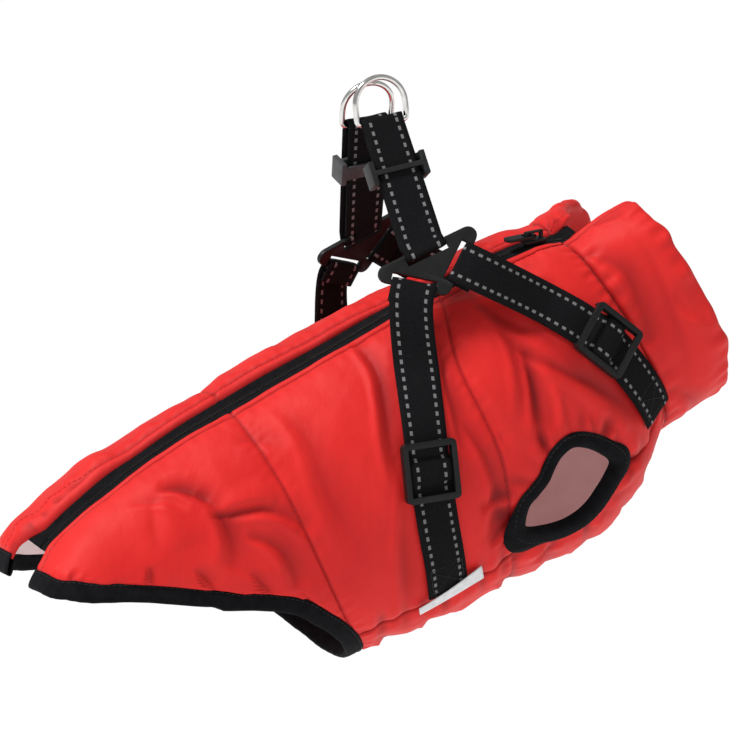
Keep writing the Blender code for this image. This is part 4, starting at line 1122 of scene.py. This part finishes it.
def padded_collar():
    row, along, around = collar_grid()
    here, bent = plain(along, around), folds(along, around)
    low_run, rim_run, first_run, last_run = grid_runs(along, around)
    zip_run = np.minimum(first_run, last_run)

    # the outer face: wadding and folds, then gathers at the seam, the zip and the rim
    uneven = crumples(here, 24.0, 2.0)
    fill = 0.2 + 0.8 * np.sin(clip01((zip_run - 5.6) / 9) * math.pi / 2)
    outer = COLLAR_PUFF * pillow(row * 0.8) * (1 + 0.18 * uneven) * fill
    outer += bent * np.where(around > 290, 0.4, 0.9) - 0.8 * bell(zip_run - ZIP_STITCHES, 0.9)
    seam_pull = puckers(low_run - 4, around * 1.1, 7.0, 11.5, 1.1)
    outer += seam_pull * 0.6 * (1 + uneven)
    outer += puckers(zip_run - 9, along, 4.5, 7.0, 2.0) * 0.5
    outer += puckers(rim_run - 5, around * 1.1, 6.0, 11.0, 0.3) * 0.9
    smoother = np.where(around > 250, 0.2, 1.0)
    outer += (crumples(here, 26.0, 6.0) * 1.2 + crumples(here, 12.0, 6.0) * 0.4) * smoother
    outer -= 0.9 * clip01(1 - low_run / 1.5) ** 2

    # the inner face, and a thickness that runs out in a half circle at the rim
    inner = -SHELL - LINING - GAP - 1.6 * pillow(row * 0.85) * fill
    inner += crumples(here, 15.0, 11.0) * 0.8 * clip01(low_run / 8)
    reach = clip01((RIM_ROUND - rim_run) / RIM_ROUND)
    round_off = np.sqrt(clip01(1 - reach**2)) * (0.45 + 0.55 * np.sqrt(clip01(zip_run / 1.2)))
    middle = (outer + inner) / 2
    half = np.maximum((outer - inner) / 2 * round_off, 0.06)
    # painted shade in the collar's folds, along its zip stitches, at its seam and in its gathers
    crease_shade = 0.8 * clip01(-bent / 3.5) ** 1.3 + 0.5 * bell(zip_run - ZIP_STITCHES, 0.9)
    crease_shade += 0.6 * bell(low_run, 1.4) + 0.25 * clip01(-seam_pull)
    lift = side_lift(along, around)
    heights = middle + half + lift, middle - half + lift
    piece = cloth_wall("padded_collar", along, around, heights, None, clip01(crease_shade))
    ride(piece, RED, ["collar"], "coat_cloth")
    seam, rim = first_run[[0, -1], -1]
    print(f"the collar is {seam:.0f} mm round at its seam and {rim:.0f} mm at its rim")
    print(f"and {low_run[-1].min():.0f} to {low_run[-1].max():.0f} mm high")
    return along, around, middle + half, zip_run


surface["collar"] = padded_collar()

# %% [markdown]
# ## Binding
#
# Black binding is a strip folded in two over a raw edge and stitched through. Each one here is a
# thin sheet bent to a C round the edge. It is drawn in a little by its stitches every few
# millimetres, which gives the edge its small waves.

# %% Binding round the hem
LEAST_SHEET = 10.1  # the least width printed for a sheet; the narrowest sheet that can be declared


def binding(name, node_name, rows, thickness, column, row, uv):
    """A thin sheet bent round an edge, measured along one column and across one row."""
    length, width = run_along(rows[:, column])[-1], run_along(rows[row])[-1]
    piece = strip(name, rows, thickness, uv, thin_edge=0.7)
    ride(piece, BINDING, [node_name], "binding_cloth")
    declare_sheet(piece, max(width, LEAST_SHEET), length)


# the binding's cross-section, as (inwards from the edge, out from the plain surface)
HEM_PROFILE = [
    (4.8, -2.9), (2.5, -3.0), (0, -3.0), (-3.0, -2.95), (-4.8, -2.6), (-5.5, -1.9),
    (-5.65, -1.2), (-5.5, -0.4), (-4.8, 0.2), (-3.0, 0.5), (0, 0.55), (2.5, 0.5), (4.8, 0.3),
]  # fmt: skip
HEM_WAVE = 7.3


def hem_binding():
    """A binding from one side of the zip round the coat to the other side."""
    ends = []
    for side, turn in (("right", 5.0), ("left", 359.0)):  # ends where the zip is
        for _ in range(20):
            at = hem_line(np.array([turn]), 5.3)
            turn = turn_of(at, zip_edge(at, side))[0] + (360 if side == "left" else 0)
        ends.append(turn)
    around = np.linspace(*ends, 620)
    run = around * CLOTH_PER_DEGREE
    uneven = crumples(np.stack([run, 0 * run, 0 * run], axis=-1), 13.0, 4.0)
    wave = 0.06 * np.sin(run * 2 * math.pi / HEM_WAVE) + 0.42 * uneven
    rows = []
    for inwards, out in HEM_PROFILE:
        along = hem_line(around, inwards + wave * (1.0 if inwards < 0 else 0.4))
        lift = side_lift(along, around) + out + 0.25 * wave * (out > 0)
        rows.append(at_height(along, around, lift))
    rows = np.stack(rows, axis=1)
    uv = strip_map(run / 100, 0.24, len(HEM_PROFILE))
    binding("hem_binding", "hem_band", rows, 0.7, 6, 300, uv)
    return around


hem_around = hem_binding()
print("hem binding from", np.round(hem_around[[0, -1]], 1), "degrees")


# %% Binding round the leg holes
# the same, as (outwards from the rim, out from the cloth)
LEG_PROFILE = [
    (9.6, 1.0), (7.5, 1.25), (4.5, 1.25), (2.2, 1.1), (1.0, 0.6), (0.5, -0.3), (0.45, -1.4),
    (0.6, -2.6), (1.2, -3.3), (2.2, -3.4),
]  # fmt: skip
LEG_BINDING_WIDE = LEG_PROFILE[0][0]


def leg_binding(side):
    """A binding all round a leg hole, on the cloth's height beside it."""
    count = 260
    way = np.linspace(0, 2 * math.pi, count, endpoint=False)
    pull = 0.30 * np.sin(way * 24) + 0.35 * np.sin(way * 11 + 1.0)
    corners = np.zeros(count)  # how far the binding is drawn out at its two corners
    for spot, pointed in ((count * 15 / 16, 0.75), (count / 2, 0.25)):
        off = np.abs(np.arange(count) - spot)
        corners += pointed * bell(np.minimum(off, count - off), 9)
    rows = []
    for widen, out in LEG_PROFILE:
        wide = widen * (1 + corners * clip01(widen / LEG_BINDING_WIDE))
        along, around = leg_outline(wide, count)
        share = clip01(out / 1.2)
        lift = wadding(along, around) * share + side_lift(along, around)
        lift += out + 0.18 * pull * share + 0.9 * corners * clip01((widen - 6) / 3)
        rows.append(at_height(along, around, lift))
    rows = np.stack(rows, axis=1)
    rows = mirrored(np.concatenate([rows, rows[:1]]), side)
    run = np.linspace(0, run_along(rows[:, 1])[-1], count + 1)
    uv = strip_map(run / 100, 0.18, len(LEG_PROFILE))
    binding(f"leg_hole_binding_{side}", f"leg_binding_{side}", rows, 0.6, 1, 10, uv)


for side in SIDES:
    leg_binding(side)
print("the bindings of the hem and of", len(SIDES), "leg holes are made")

# %% [markdown]
# ## Webbing
#
# Webbing is a woven ribbon 25 mm wide and 1.6 mm thick. It keeps its width, bends only along its
# length and turns sharply round the bars it is threaded on. Each strap is made from the line it
# follows: a tail behind the plate, a turn through the slot, a free run down to the coat, and
# then the surface of the coat with a rise over the slider's middle bar.

# %% The plate's three sides
# where the right plate is, how it leans and turns, and its corners as (forward, up)
PLATE_CENTRE, PLATE_LEAN, PLATE_YAW = (-22.5, -46.0, 32.5), 25.0, 18.0
PLATE_THICK = 3.0
PLATE_CORNERS = {"rear": (-22.0, -13.4), "front": (24.5, 9.1), "low": (9.0, -20.8)}


def plate_axes():
    """Forward, up and outward directions of the right plate."""
    lean, yaw = math.radians(PLATE_LEAN), math.radians(PLATE_YAW)
    forward = np.array([math.cos(yaw), -math.sin(yaw), 0.0])
    aside = np.array([-math.sin(yaw), -math.cos(yaw), 0.0])
    upwards = np.array([0.0, 0.0, 1.0])
    up = upwards * math.cos(lean) - aside * math.sin(lean)
    return forward, up, aside * math.cos(lean) + upwards * math.sin(lean)


def plate_side(first, second):
    """The middle, direction and outward direction of a side of the plate, and its normal."""
    forward, up, out = plate_axes()
    a, b = (np.array(PLATE_CORNERS[name]) for name in (first, second))
    direction, middle = unit(b - a), (a + b) / 2
    away = np.array([direction[1], -direction[0]])
    away *= np.sign(away @ (middle - np.mean(list(PLATE_CORNERS.values()), axis=0)))
    middle, direction, away = (forward * v[0] + up * v[1] for v in (middle, direction, away))
    return PLATE_CENTRE + middle, direction, away, out


def bar_turn(middle, away, normal, tail):
    """The strap's middle line from its tail, round a bar of the plate, to its outer side."""
    clear, inside, bend = PLATE_THICK / 2 + GAP + WEBBING / 2, 1.5, 1.0
    steps = [(tail, -clear), (tail * 0.6, -clear), (4.5, -clear)]
    for first, last, centre in ((-90, -180, bend - clear), (180, 90, clear - bend)):
        for a in np.radians(np.linspace(first, last, 6)):
            steps.append((inside + bend + bend * math.cos(a), centre + bend * math.sin(a)))
    steps += [(4.5, clear), (8.0, clear)]
    return np.array([middle + away * q + normal * n for q, n in steps])


for pair in (("rear", "front"), ("front", "low"), ("low", "rear")):
    print("the plate's side", *pair, "is at", np.round(plate_side(*pair)[0], 1))

# %% Ribbons from lanes
LANES = np.linspace(-WEBBING_WIDTH / 2, WEBBING_WIDTH / 2, 11)  # places across a strap
LANE_STEP = 1.8  # from one row of lanes to the next
WEBBING_OUT, STRAP_RISE = 0.8, 2.9  # above the cloth, and above a slider's middle bar
STRAP_FIXTURES = {  # the plate's side, the slider's place and how far it stands off
    "girth": (("low", "rear"), 0.42, 0.5),
    "chest": (("front", "low"), 0.36, 2.0),
}


def refine(points, longest):
    """Adds points on the long steps of a line."""
    made = [points[0]]
    for start, end in zip(points, points[1:]):
        count = max(1, math.ceil(np.linalg.norm(end - start) / longest))
        made += [start + (end - start) * k / count for k in range(1, count + 1)]
    return np.array(made)


def webbing_piece(kind, side, rows):
    """A ribbon with its own map: across it, and the length run along its middle."""
    rows = mirrored(rows, side)
    run = run_along(rows[:, len(LANES) // 2])
    uv = strip_map(run / MAP_LENGTH, 1.0, len(LANES))[..., ::-1]
    piece = strip(f"{kind}_webbing_{side}", rows, WEBBING, uv, thin_edge=0.5)
    ride(piece, WEB, [f"{kind}_strap_{side}"], "webbing")
    declare_sheet(piece, WEBBING_WIDTH, run[-1])
    return rows


def on_coat(kind, side, share, lift):
    """Lanes of a strap that lies on the coat and rises over its slider's middle bar."""
    along, around = strap_path(kind, side, 400)
    run = run_along(at_height(along, around, cloth_lift(along, around) + WEBBING_OUT))
    middle = share * run[-1]
    at = np.linspace(0, run[-1], int(run[-1] / LANE_STEP))

    def on_line(distance):
        return np.interp(distance, run, along), np.interp(distance, run, around)

    here = plain(*on_line(at))
    heading = unit(plain(*on_line(at + 1)) - plain(*on_line(at - 1)))
    sideways = np.cross(heading, outward(*on_line(at)))
    lanes = []
    for offset in LANES:
        moved = here + sideways * offset
        spot, turn = moved[:, 0], around_of(moved)
        height = cloth_lift(spot, turn) + WEBBING_OUT + WEBBING / 2
        lanes.append(at_height(spot, turn, height))
    lanes = np.stack(lanes, axis=1)

    # flat across the slider's middle bar, with a soft change on both sides of it
    spot, turn = (value[None] for value in on_line(middle))
    centre = at_height(spot, turn, cloth_lift(spot, turn) + WEBBING_OUT + lift)[0]
    normal = upright(outward(spot, turn))[0]
    nearest = np.argmin(np.abs(at - middle))
    cross = unit(upright(sideways[nearest]))
    forward = np.cross(normal, cross)
    forward *= np.sign(forward @ upright(heading[nearest]))
    off = (at - middle)[:, None, None]
    flat = centre + cross * LANES[None, :, None] + forward * off
    flat = flat + normal * (STRAP_RISE + WEBBING / 2)
    share = ease(clip01((9.5 - np.abs(off)) / 5.5))
    return lanes * (1 - share) + flat * share


def lower_strap(kind, side):
    """A tail behind the plate, a turn round its bar, a free run and the part on the coat."""
    edge, share, lift = STRAP_FIXTURES[kind]
    middle, direction, away, normal = plate_side(*edge)
    lanes = on_coat(kind, side, share, lift)
    direction = direction * (-1 if (lanes[0, -1] - lanes[0, 0]) @ direction < 0 else 1)
    turn = refine(bar_turn(middle, away, normal, 14.0), 2.0)
    start = turn[:, None] + direction * LANES[None, :, None]
    gone, come = start[-1], lanes[0]
    length = np.linalg.norm(come - gone, axis=1).mean()
    leaving, landing = away[None], unit(lanes[3] - lanes[0])
    free = [
        hermite(t, gone, leaving * length * 0.7, come, landing * length * 0.7)
        for t in np.linspace(0, 1, max(4, int(length / LANE_STEP)))[1:-1]
    ]
    return webbing_piece(kind, side, np.concatenate([start, np.array(free), lanes]))


strap_shape = {(kind, side): lower_strap(kind, side) for side in SIDES for kind in STRAPS}


# %% Handle straps
# the straight side of each ring, round which its strap turns
RING_BAR_CENTRES = {"right": (-35.0, -14.5, 102.5), "left": (-32.5, -14.5, 99.5)}
RING_BAR_DIRECTION = (0.995, 0.0, 0.1)
RING_WIRE = 1.7  # half the thickness of a ring


def handle_webbing(side):
    """A closed loop: round the plate's bar, up, over the ring's bar and down again."""
    middle, direction, away, normal = plate_side("rear", "front")
    top = np.array(RING_BAR_CENTRES[side])
    lift = unit(top - middle)
    face = unit(normal - lift * (normal @ lift))
    lower = bar_turn(middle, away, normal, 6.5)
    loop = RING_WIRE + GAP + 0.1 + WEBBING / 2
    arc = [
        top + face * loop * math.cos(a) + lift * loop * math.sin(a)
        for a in np.radians(np.linspace(0, 180, 15))
    ]
    line = refine(np.array([*lower, *arc, lower[0]]), 2.0)
    height = clip01((line - middle) @ lift / np.linalg.norm(top - middle))[:, None]
    widths = direction * (1 - height) + unit(RING_BAR_DIRECTION) * height
    run = unit(np.gradient(line, axis=0))
    widths = unit(widths - run * (widths * run).sum(1, keepdims=True))
    webbing_piece("handle", side, line[:, None] + widths[:, None] * LANES[None, :, None])


for side in SIDES:
    handle_webbing(side)

# %% [markdown]
# ## Moulded and metal pieces
#
# The plates, sliders and zip hardware are injection moulded or cast, so every edge has a small
# round. The fixed frame holds their exact shapes as sharp solids made of loose triangles. A copy
# of each is merged, its flat faces are joined, and its edges get a bevel. The rings are bent
# from round wire, so a subdivision surface makes their cross-section and bends smooth.

# %% Round the edges of a copy
SLIDER_WIDE, SLIDER_THICK = 0.032, (0.0045, 0.0056)  # metres
RAIL_INSIDE, RAIL_GROWS = 0.0138, 0.0009  # metres from the middle, and inwards


def select_only(made):
    bpy.ops.object.select_all(action="DESELECT")
    made.select_set(True)
    bpy.context.view_layer.objects.active = made


def edited(tool, **settings):
    """Runs a mesh tool on the whole of the active object."""
    bpy.ops.object.mode_set(mode="EDIT")
    bpy.ops.mesh.select_all(action="SELECT")
    tool(**settings)
    bpy.ops.object.mode_set(mode="OBJECT")


def merged_copy(name, node_name, flat=True):
    """A copy of a frame solid with its triangles merged into flat faces, or into quads."""
    made = bpy.data.objects.new(name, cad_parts[node_name].data.copy())
    bpy.context.scene.collection.objects.link(made)
    select_only(made)
    if made.data.has_custom_normals:
        bpy.ops.mesh.customdata_custom_splitnormals_clear()
    edited(bpy.ops.mesh.remove_doubles, threshold=0.00001)
    if flat:
        edited(bpy.ops.mesh.dissolve_limited, angle_limit=math.radians(1.0))
    else:
        most = math.radians(80)
        edited(bpy.ops.mesh.tris_convert_to_quads, face_threshold=most, shape_threshold=most)
    return made


def apply_step(made, kind, **settings):
    step = made.modifiers.new(kind.lower(), kind)
    for name, value in settings.items():
        setattr(step, name, value)
    select_only(made)
    bpy.ops.object.modifier_apply(modifier=step.name)


def vertex_places(made):
    """The vertices of an object and the middle of their box, in metres."""
    places = np.array([v.co[:] for v in made.data.vertices])
    return places, (places.max(axis=0) + places.min(axis=0)) / 2


def round_corners(made, thick, far_share, radius):
    """Rounds the outer corners of a flat piece, seen along its thickness in metres."""
    corners, middle = vertex_places(made)
    far = np.linalg.norm(corners - middle, axis=1)
    outer = set(np.flatnonzero(far > far.max() * far_share).tolist())
    bpy.ops.object.mode_set(mode="EDIT")
    bpy.ops.mesh.select_all(action="DESELECT")
    bpy.ops.mesh.select_mode(type="EDGE")
    bpy.ops.object.mode_set(mode="OBJECT")
    for edge in made.data.edges:
        first, last = edge.vertices
        length = np.linalg.norm(corners[first] - corners[last])
        edge.select = thick[0] < length < thick[1] and {first, last} <= outer
    bpy.ops.object.mode_set(mode="EDIT")
    bpy.ops.mesh.bevel(offset=radius, segments=6, affect="EDGES")
    bpy.ops.object.mode_set(mode="OBJECT")


def thicken_rails(made):
    """Moves the inner sides of a slider's two rails towards each other."""
    corners, middle = vertex_places(made)
    for edge in made.data.edges:
        run = corners[edge.vertices[1]] - corners[edge.vertices[0]]
        if abs(np.linalg.norm(run) - SLIDER_WIDE) < 0.0002:
            across = unit(run)
    off = (corners - middle) @ across
    off -= (off.max() + off.min()) / 2
    for vertex, distance in zip(made.data.vertices, off):
        if abs(abs(distance) - RAIL_INSIDE) < 0.0003:
            vertex.co = vertex.co - Vector(across * math.copysign(RAIL_GROWS, distance))


def rounded(name, node_name, finish, radius, corner=0.0):
    """A copy with rounded edges. corner is the radius of a slider's four corners."""
    made = merged_copy(name, node_name)
    if corner:
        thicken_rails(made)
        round_corners(made, SLIDER_THICK, 0.9, corner)
    apply_step(
        made, "BEVEL", width=radius, segments=3, limit_method="ANGLE",
        angle_limit=math.radians(35), harden_normals=False,
    )  # fmt: skip
    bpy.ops.object.shade_smooth_by_angle(angle=math.radians(40))
    ride(made, finish, [node_name], "black_plastic")
    print(f"{name}: {len(made.data.polygons)} faces")


for side in SIDES:
    rounded(f"moulded_plate_{side}", f"junction_plate_{side}", PLASTIC, 0.0007)
    for kind in STRAPS:
        rounded(f"{kind}_adjuster_{side}", f"{kind}_slider_{side}", PLASTIC, 0.0007, 0.003)
    # the far handle slider gets the lighter copy of the same plastic: painted light
    finish = GREY_PLASTIC if side == "right" else FAR_PLASTIC
    rounded(f"handle_adjuster_{side}", f"handle_slider_{side}", finish, 0.0005)
rounded("zip_slider_body", "zip_slider", PLASTIC, 0.0004)


# %% Rings and pull tab
def wire_ring(side):
    made = merged_copy(f"wire_ring_{side}", f"d_ring_{side}", flat=False)
    apply_step(made, "SUBSURF", levels=2, render_levels=2)
    edited(bpy.ops.transform.shrink_fatten, value=0.00012)
    bpy.ops.object.shade_smooth()
    ride(made, STEEL, [f"d_ring_{side}"], "nickel_steel", f"d_ring_{side}")
    print(f"{made.name}: {len(made.data.polygons)} faces")


def pull_tab():
    made = merged_copy("pull_tab", "zip_pull_tab")
    round_corners(made, (0.0, 0.0018), 0.8, 0.0026)
    apply_step(
        made, "BEVEL", width=0.0003, segments=2, limit_method="ANGLE",
        angle_limit=math.radians(50),
    )  # fmt: skip
    bpy.ops.object.shade_smooth_by_angle(angle=math.radians(40))
    ride(made, PLASTIC, ["zip_pull_tab"], "black_plastic", "zip_pull_tab")
    print(f"{made.name}: {len(made.data.polygons)} faces")


for side in SIDES:
    wire_ring(side)
pull_tab()

# %% [markdown]
# ## Zip
#
# The zip has two woven tapes and a nylon coil in the middle. One turn of the coil is a small
# rounded loop that is repeated a few hundred times, so it is modelled once with few faces and
# copied along the zip. Below the slider the two halves are closed; above it they part.

# %% Zip tapes
ZIP_TAPE_OUT, TAPE_WIDTH = -1.05, 6.5
TAPE_UNDER = 1.2  # how far a tape reaches under its panel
TAPE_LANES = 7


def tape(side):
    """Half of the zip's cloth, from under its panel to the middle of the zip."""
    along = np.linspace(ZIP_END - 5, ZIP_TOPS[side], 330)
    past_end = clip01((ZIP_END + 26 - along) / 12)
    room = (zip_edge(along, "left") - zip_edge(along, "right")) / 2 - 0.4 * (1 - past_end)
    width = np.minimum(room, TAPE_WIDTH + GAP + 12 * past_end) + TAPE_UNDER
    inwards = 1 if side == "right" else -1
    outer = zip_edge(along, side) - inwards * TAPE_UNDER
    into_collar = 3.5 * clip01((along - 80) / 16)
    rows = []
    for share in np.linspace(0, 1, TAPE_LANES):
        turn = turn_of(along, outer + inwards * width * share)
        out = ZIP_TAPE_OUT + side_lift(along, turn) * (1 - share * past_end) + 0.15 * share
        rows.append(at_height(along, turn, out - into_collar))
    rows = np.stack(rows, axis=1)
    uv = strip_map(along / 100, TAPE_WIDTH / 100, TAPE_LANES)
    piece = strip(f"woven_zip_tape_{side}", rows, 0.9, uv)
    ride(piece, TAPE, [f"zip_tape_{side}"], "zip_tape_cloth")
    return rows


tape_rows = {side: tape(side) for side in SIDES}
print("rows of points in the zip tapes:", [len(rows) for rows in tape_rows.values()])


# %% Copies of one small shape
def repeat(name, model, centres, lengthwise, normals, finish, slot):
    """One mesh with a copy of the model at each place, as its own points."""
    points = np.array([v.co[:] for v in model.data.vertices])
    faces = [face.vertices[:] for face in model.data.polygons]
    normals = unit(normals - lengthwise * (normals * lengthwise).sum(1, keepdims=True))
    sideways = np.cross(normals, lengthwise)
    placed = (
        centres[:, None]
        + points[None, :, :1] * lengthwise[:, None]
        + points[None, :, 1:2] * sideways[:, None]
        + points[None, :, 2:] * normals[:, None]
    )
    first_points = range(0, len(centres) * len(points), len(points))
    copied = [[k + first for k in face] for first in first_points for face in faces]
    mesh = bpy.data.meshes.new(name)
    mesh.from_pydata(metres(placed.reshape(-1, 3)).tolist(), [], copied)
    ride(shown(name, mesh), finish, [], slot)
    print(f"{name}: {len(centres)} copies of {len(faces)} faces")


def small_model(name, segments, rings, size):
    """A rounded shape with few faces, stretched to its size in millimetres."""
    bpy.ops.object.select_all(action="DESELECT")
    bpy.ops.mesh.primitive_uv_sphere_add(segments=segments, ring_count=rings, radius=1.0)
    made = bpy.context.object
    made.name = name
    middle = (0, 0, 0)
    edited(bpy.ops.transform.rotate, value=math.pi / 2, orient_axis="Y", center_override=middle)
    edited(bpy.ops.transform.resize, value=size, center_override=middle)
    return made


COIL_PITCH, PULLER_ALONG = 1.35, 65.0
loop_model = small_model("coil_loop", 6, 5, (0.55, 2.3, 0.75))


def coil():
    """The closed coil up to the slider, then half a coil on each open tape."""
    fine = np.linspace(ZIP_END + 2, PULLER_ALONG - 5, 700)
    turn = turn_of(fine, zip_middle(fine))
    line = at_height(fine, turn, np.full(fine.shape, ZIP_TAPE_OUT + 0.65))
    run = run_along(line)
    at = np.arange(0, run[-1], COIL_PITCH)
    spots = at_runs(at, run, line)
    normals = upright(outward(np.interp(at, run, fine), np.interp(at, run, turn)))
    loops = [(spots, unit(np.gradient(spots, axis=0)), normals)]
    for side in SIDES:
        line = refine(tape_rows[side][len(tape_rows[side]) * 11 // 12 : -24, -1], 0.2)
        run = run_along(line)
        spots = at_runs(np.arange(0, run[-1], COIL_PITCH), run, line)
        level = np.tile(upright(np.array([0.0, 0.0, 1.0])), (len(spots), 1))
        loops.append((spots + level * 0.5, unit(np.gradient(spots, axis=0)), level))
    together = [np.concatenate(part) for part in zip(*loops)]
    repeat("zip_coil", loop_model, *together, PLASTIC, "zip_tape_cloth")


coil()

# %% [markdown]
# ## Label and stitches
#
# The label is a white woven strip folded once and caught in the belly seam. It stays blank.
# Stitches are worth modelling because they catch the light and draw the seams. One stitch is a
# spindle 2.6 mm long. Rows of them run beside the zip, along the quilting lines, round both
# kinds of binding and across the ends of the webbing.

# %% Blank label
def blank_label():
    """A strip that widens forwards and stands off the cloth a little at its middle."""
    share = np.linspace(0, 1, 40)
    along = -103.0 + 42.0 * share
    low, high = 137.0 - 4.0 * share, 133.0 - 7.5 * share
    rows = []
    for across in np.linspace(0, 1, 9):
        turned = low + (high - low) * across
        out = 3.5 + 0.5 * np.sin(share * math.pi) * across - 0.5 * across**2 * (1 - share)
        rows.append(at_height(along, turned, cloth_lift(along, turned) + out))
    rows = np.stack(rows, axis=1)
    piece = strip("white_label", rows, 0.6, strip_map(share, 0.2, 9), thin_edge=0.8)
    ride(piece, LABEL, ["label"], "label_cloth")
    print(f"{piece.name}: {run_along(rows[:, 4])[-1]:.0f} mm long")


blank_label()


# %% Rows of stitches
stitch_model = small_model("stitch", 6, 4, (1.3, 0.26, 0.24))
rows_of_stitches = {"red": [], "black": []}


def add_stitches(colour, points, normals, pitch=3.4):
    """Remembers a row of stitches along a line in the held coat's frame."""
    run = run_along(points)
    at = np.arange(pitch / 2, run[-1], pitch)
    spots, above = at_runs(at, run, points), unit(at_runs(at, run, normals))
    heading = unit(at_runs(at + 0.5, run, points) - at_runs(at - 0.5, run, points))
    rows_of_stitches[colour].append((spots + above * 0.08, heading, above))


def on_surface(along, around, height):
    return at_height(along, around, height), upright(outward(along, around))


def quilting_stitches(which):
    """Two rows across a panel, broken where a leg hole is."""
    *grids, leg_run = surface[which]
    rows = COARSE_ROWS if which == "belly" else FINE_ROWS
    for quilting in (1.0, 2.0):
        i = np.argmin(np.abs(rows - quilting))
        clear = (leg_run[i] > 11).astype(int)
        turns = np.flatnonzero(np.diff(np.concatenate([[0], clear, [0]])))
        for first, last in zip(turns[::2], turns[1::2]):
            if last - first > 3:
                add_stitches("red", *on_surface(*(grid[i, first:last] for grid in grids)))


def zip_stitches(side):
    *grids, _ = surface[side]
    zip_run = grid_runs(*grids[:2])[2]
    column = np.argmin(np.abs(zip_run.mean(axis=0) - ZIP_STITCHES))
    add_stitches("red", *on_surface(*(grid[:, column] for grid in grids)))


def collar_stitches(first_column):
    """A row beside one end of the collar, found among 60 columns from this one on."""
    *grids, zip_run = surface["collar"]
    near_end = zip_run[20, first_column : first_column + 60]
    column = first_column + np.argmin(np.abs(near_end - ZIP_STITCHES))
    along, around, height = (grid[1:34, column] for grid in grids)
    spots, above = on_surface(along, around, height)
    add_stitches("red", spots + above * side_lift(along, around)[:, None], above)


def leg_stitches(side):
    along, around = leg_outline(8.0, 200)
    line = on_surface(along, around, cloth_lift(along, around) + 1.5)
    add_stitches("black", *(mirrored(points, side) for points in line), pitch=3.2)


def box_stitch(rows, first, last):
    """A sewn rectangle with a cross in it, on the outer side of a strap."""
    normal = unit(np.cross(np.gradient(rows, axis=0), np.gradient(rows, axis=1)))
    outwards = rows[len(rows) // 2].mean(axis=0) * (0, 1, 0) + (0, 0, 0.3)
    corners = [(first, 1), (last, 1), (last, 9), (first, 9), (first, 1)]
    crossing = [((first, 1), (last, 9)), ((first, 9), (last, 1))]
    for start, end in [*zip(corners, corners[1:]), *crossing]:
        place = np.linspace(start, end, 12)
        low = place.astype(int)
        high = np.minimum(low + 1, np.array(rows.shape[:2]) - 1)
        share, over = np.split(place - low, 2, axis=1)
        (i, j), (k, m) = low.T, high.T
        near = rows[i, j] * (1 - share) + rows[k, j] * share
        far = rows[i, m] * (1 - share) + rows[k, m] * share
        above = normal[i, j]
        above = above * np.sign(above @ outwards)[:, None]
        spots = near * (1 - over) + far * over + above * (WEBBING / 2)
        add_stitches("black", spots, above, pitch=2.6)


for which in (*SIDES, "belly"):
    quilting_stitches(which)
for side in SIDES:
    zip_stitches(side)
for first_column in (0, 240):
    collar_stitches(first_column)
hem_along = hem_line(hem_around, 3.4)
hem_out = side_lift(hem_along, hem_around) + 0.85
add_stitches("black", *on_surface(hem_along, hem_around, hem_out), pitch=3.2)
for side in SIDES:
    leg_stitches(side)
for side in SIDES:
    for kind in STRAPS:
        rows = strap_shape[kind, side]
        box_stitch(rows, len(rows) - 12, len(rows) - 3)

for colour, finish, slot in (
    ("red", RED_THREAD, "coat_cloth"),
    ("black", BLACK_THREAD, "binding_cloth"),
):
    together = [np.concatenate(part) for part in zip(*rows_of_stitches[colour])]
    repeat(f"{colour}_stitches", stitch_model, *together, finish, slot)
for model in (loop_model, stitch_model):
    bpy.data.objects.remove(model, do_unlink=True)

# %% [markdown]
# ## Studio
#
# The coat is photographed in a bright, even studio: white all round, one large soft light from
# the upper left. A white floor far below closes the background. The camera stands far away with
# a long lens, a little behind the right side and slightly above.

# %% Floor, lights and camera
FLOOR_BELOW = 0.75  # metres
WHITE = (1.0, 1.0, 1.0, 1.0)
AZIMUTH, ELEVATION, DISTANCE = math.radians(-23), math.radians(8), 3.0
PIXELS_PER_MM, PICTURE = 1.76, 736  # scale and width of the photo
KNOWN_SPOT, KNOWN_PIXEL = (4.086, 0.0, -8.019), (430, 300)  # one point, and its pixel
SENSOR = 36

bpy.ops.object.select_all(action="DESELECT")
bpy.ops.mesh.primitive_plane_add(size=80, location=(0, 0, 0))
floor = bpy.context.object
floor.name = "studio_floor"
for corner in floor.data.vertices:
    corner.co.z = -FLOOR_BELOW
white, _ = new_finish(
    "white_floor", (0.92, 0.92, 0.92), 0.9, emission_color=WHITE, emission_strength=0.06
)
floor.data.materials.append(white)

world = bpy.data.worlds.new("white_studio")
world.use_nodes = True
sky = world.node_tree.nodes["Background"]
sky.inputs["Color"].default_value = WHITE
sky.inputs["Strength"].default_value = 0.36
bpy.context.scene.world = world


def pointed(name, data, towards):
    """A lamp or a camera that looks back along this direction."""
    made = bpy.data.objects.new(name, data)
    made.rotation_euler = Vector(towards).to_track_quat("Z", "Y").to_euler()
    bpy.context.scene.collection.objects.link(made)
    return made


level = math.cos(ELEVATION)
towards = np.array([
    math.sin(AZIMUTH) * level, -math.cos(AZIMUTH) * level, math.sin(ELEVATION)
])  # fmt: skip
right = np.array([math.cos(AZIMUTH), math.sin(AZIMUTH), 0.0])
up = np.cross(towards, right)

sun = bpy.data.lights.new("key_light", "SUN")
sun.energy = 2.7
sun.angle = math.radians(18)
pointed("key_light", sun, towards * 0.6 - right * 0.7 + up * 1.1)

camera_data = bpy.data.cameras.new("camera")
camera_data.sensor_width = SENSOR
camera_data.lens = SENSOR * DISTANCE / (PICTURE / PIXELS_PER_MM / 1000)
camera_data.clip_end = 200
camera = pointed("camera", camera_data, towards)
aside, down = (PICTURE / 2 - pixel for pixel in KNOWN_PIXEL)
aim = np.array(KNOWN_SPOT) + (right * aside - up * down) / PIXELS_PER_MM
camera.location = aim / 1000 + towards * DISTANCE
bpy.context.scene.camera = camera
bpy.context.scene.view_settings.view_transform = "Standard"
print("camera lens", round(camera_data.lens), "mm at", np.round(camera.location, 2))
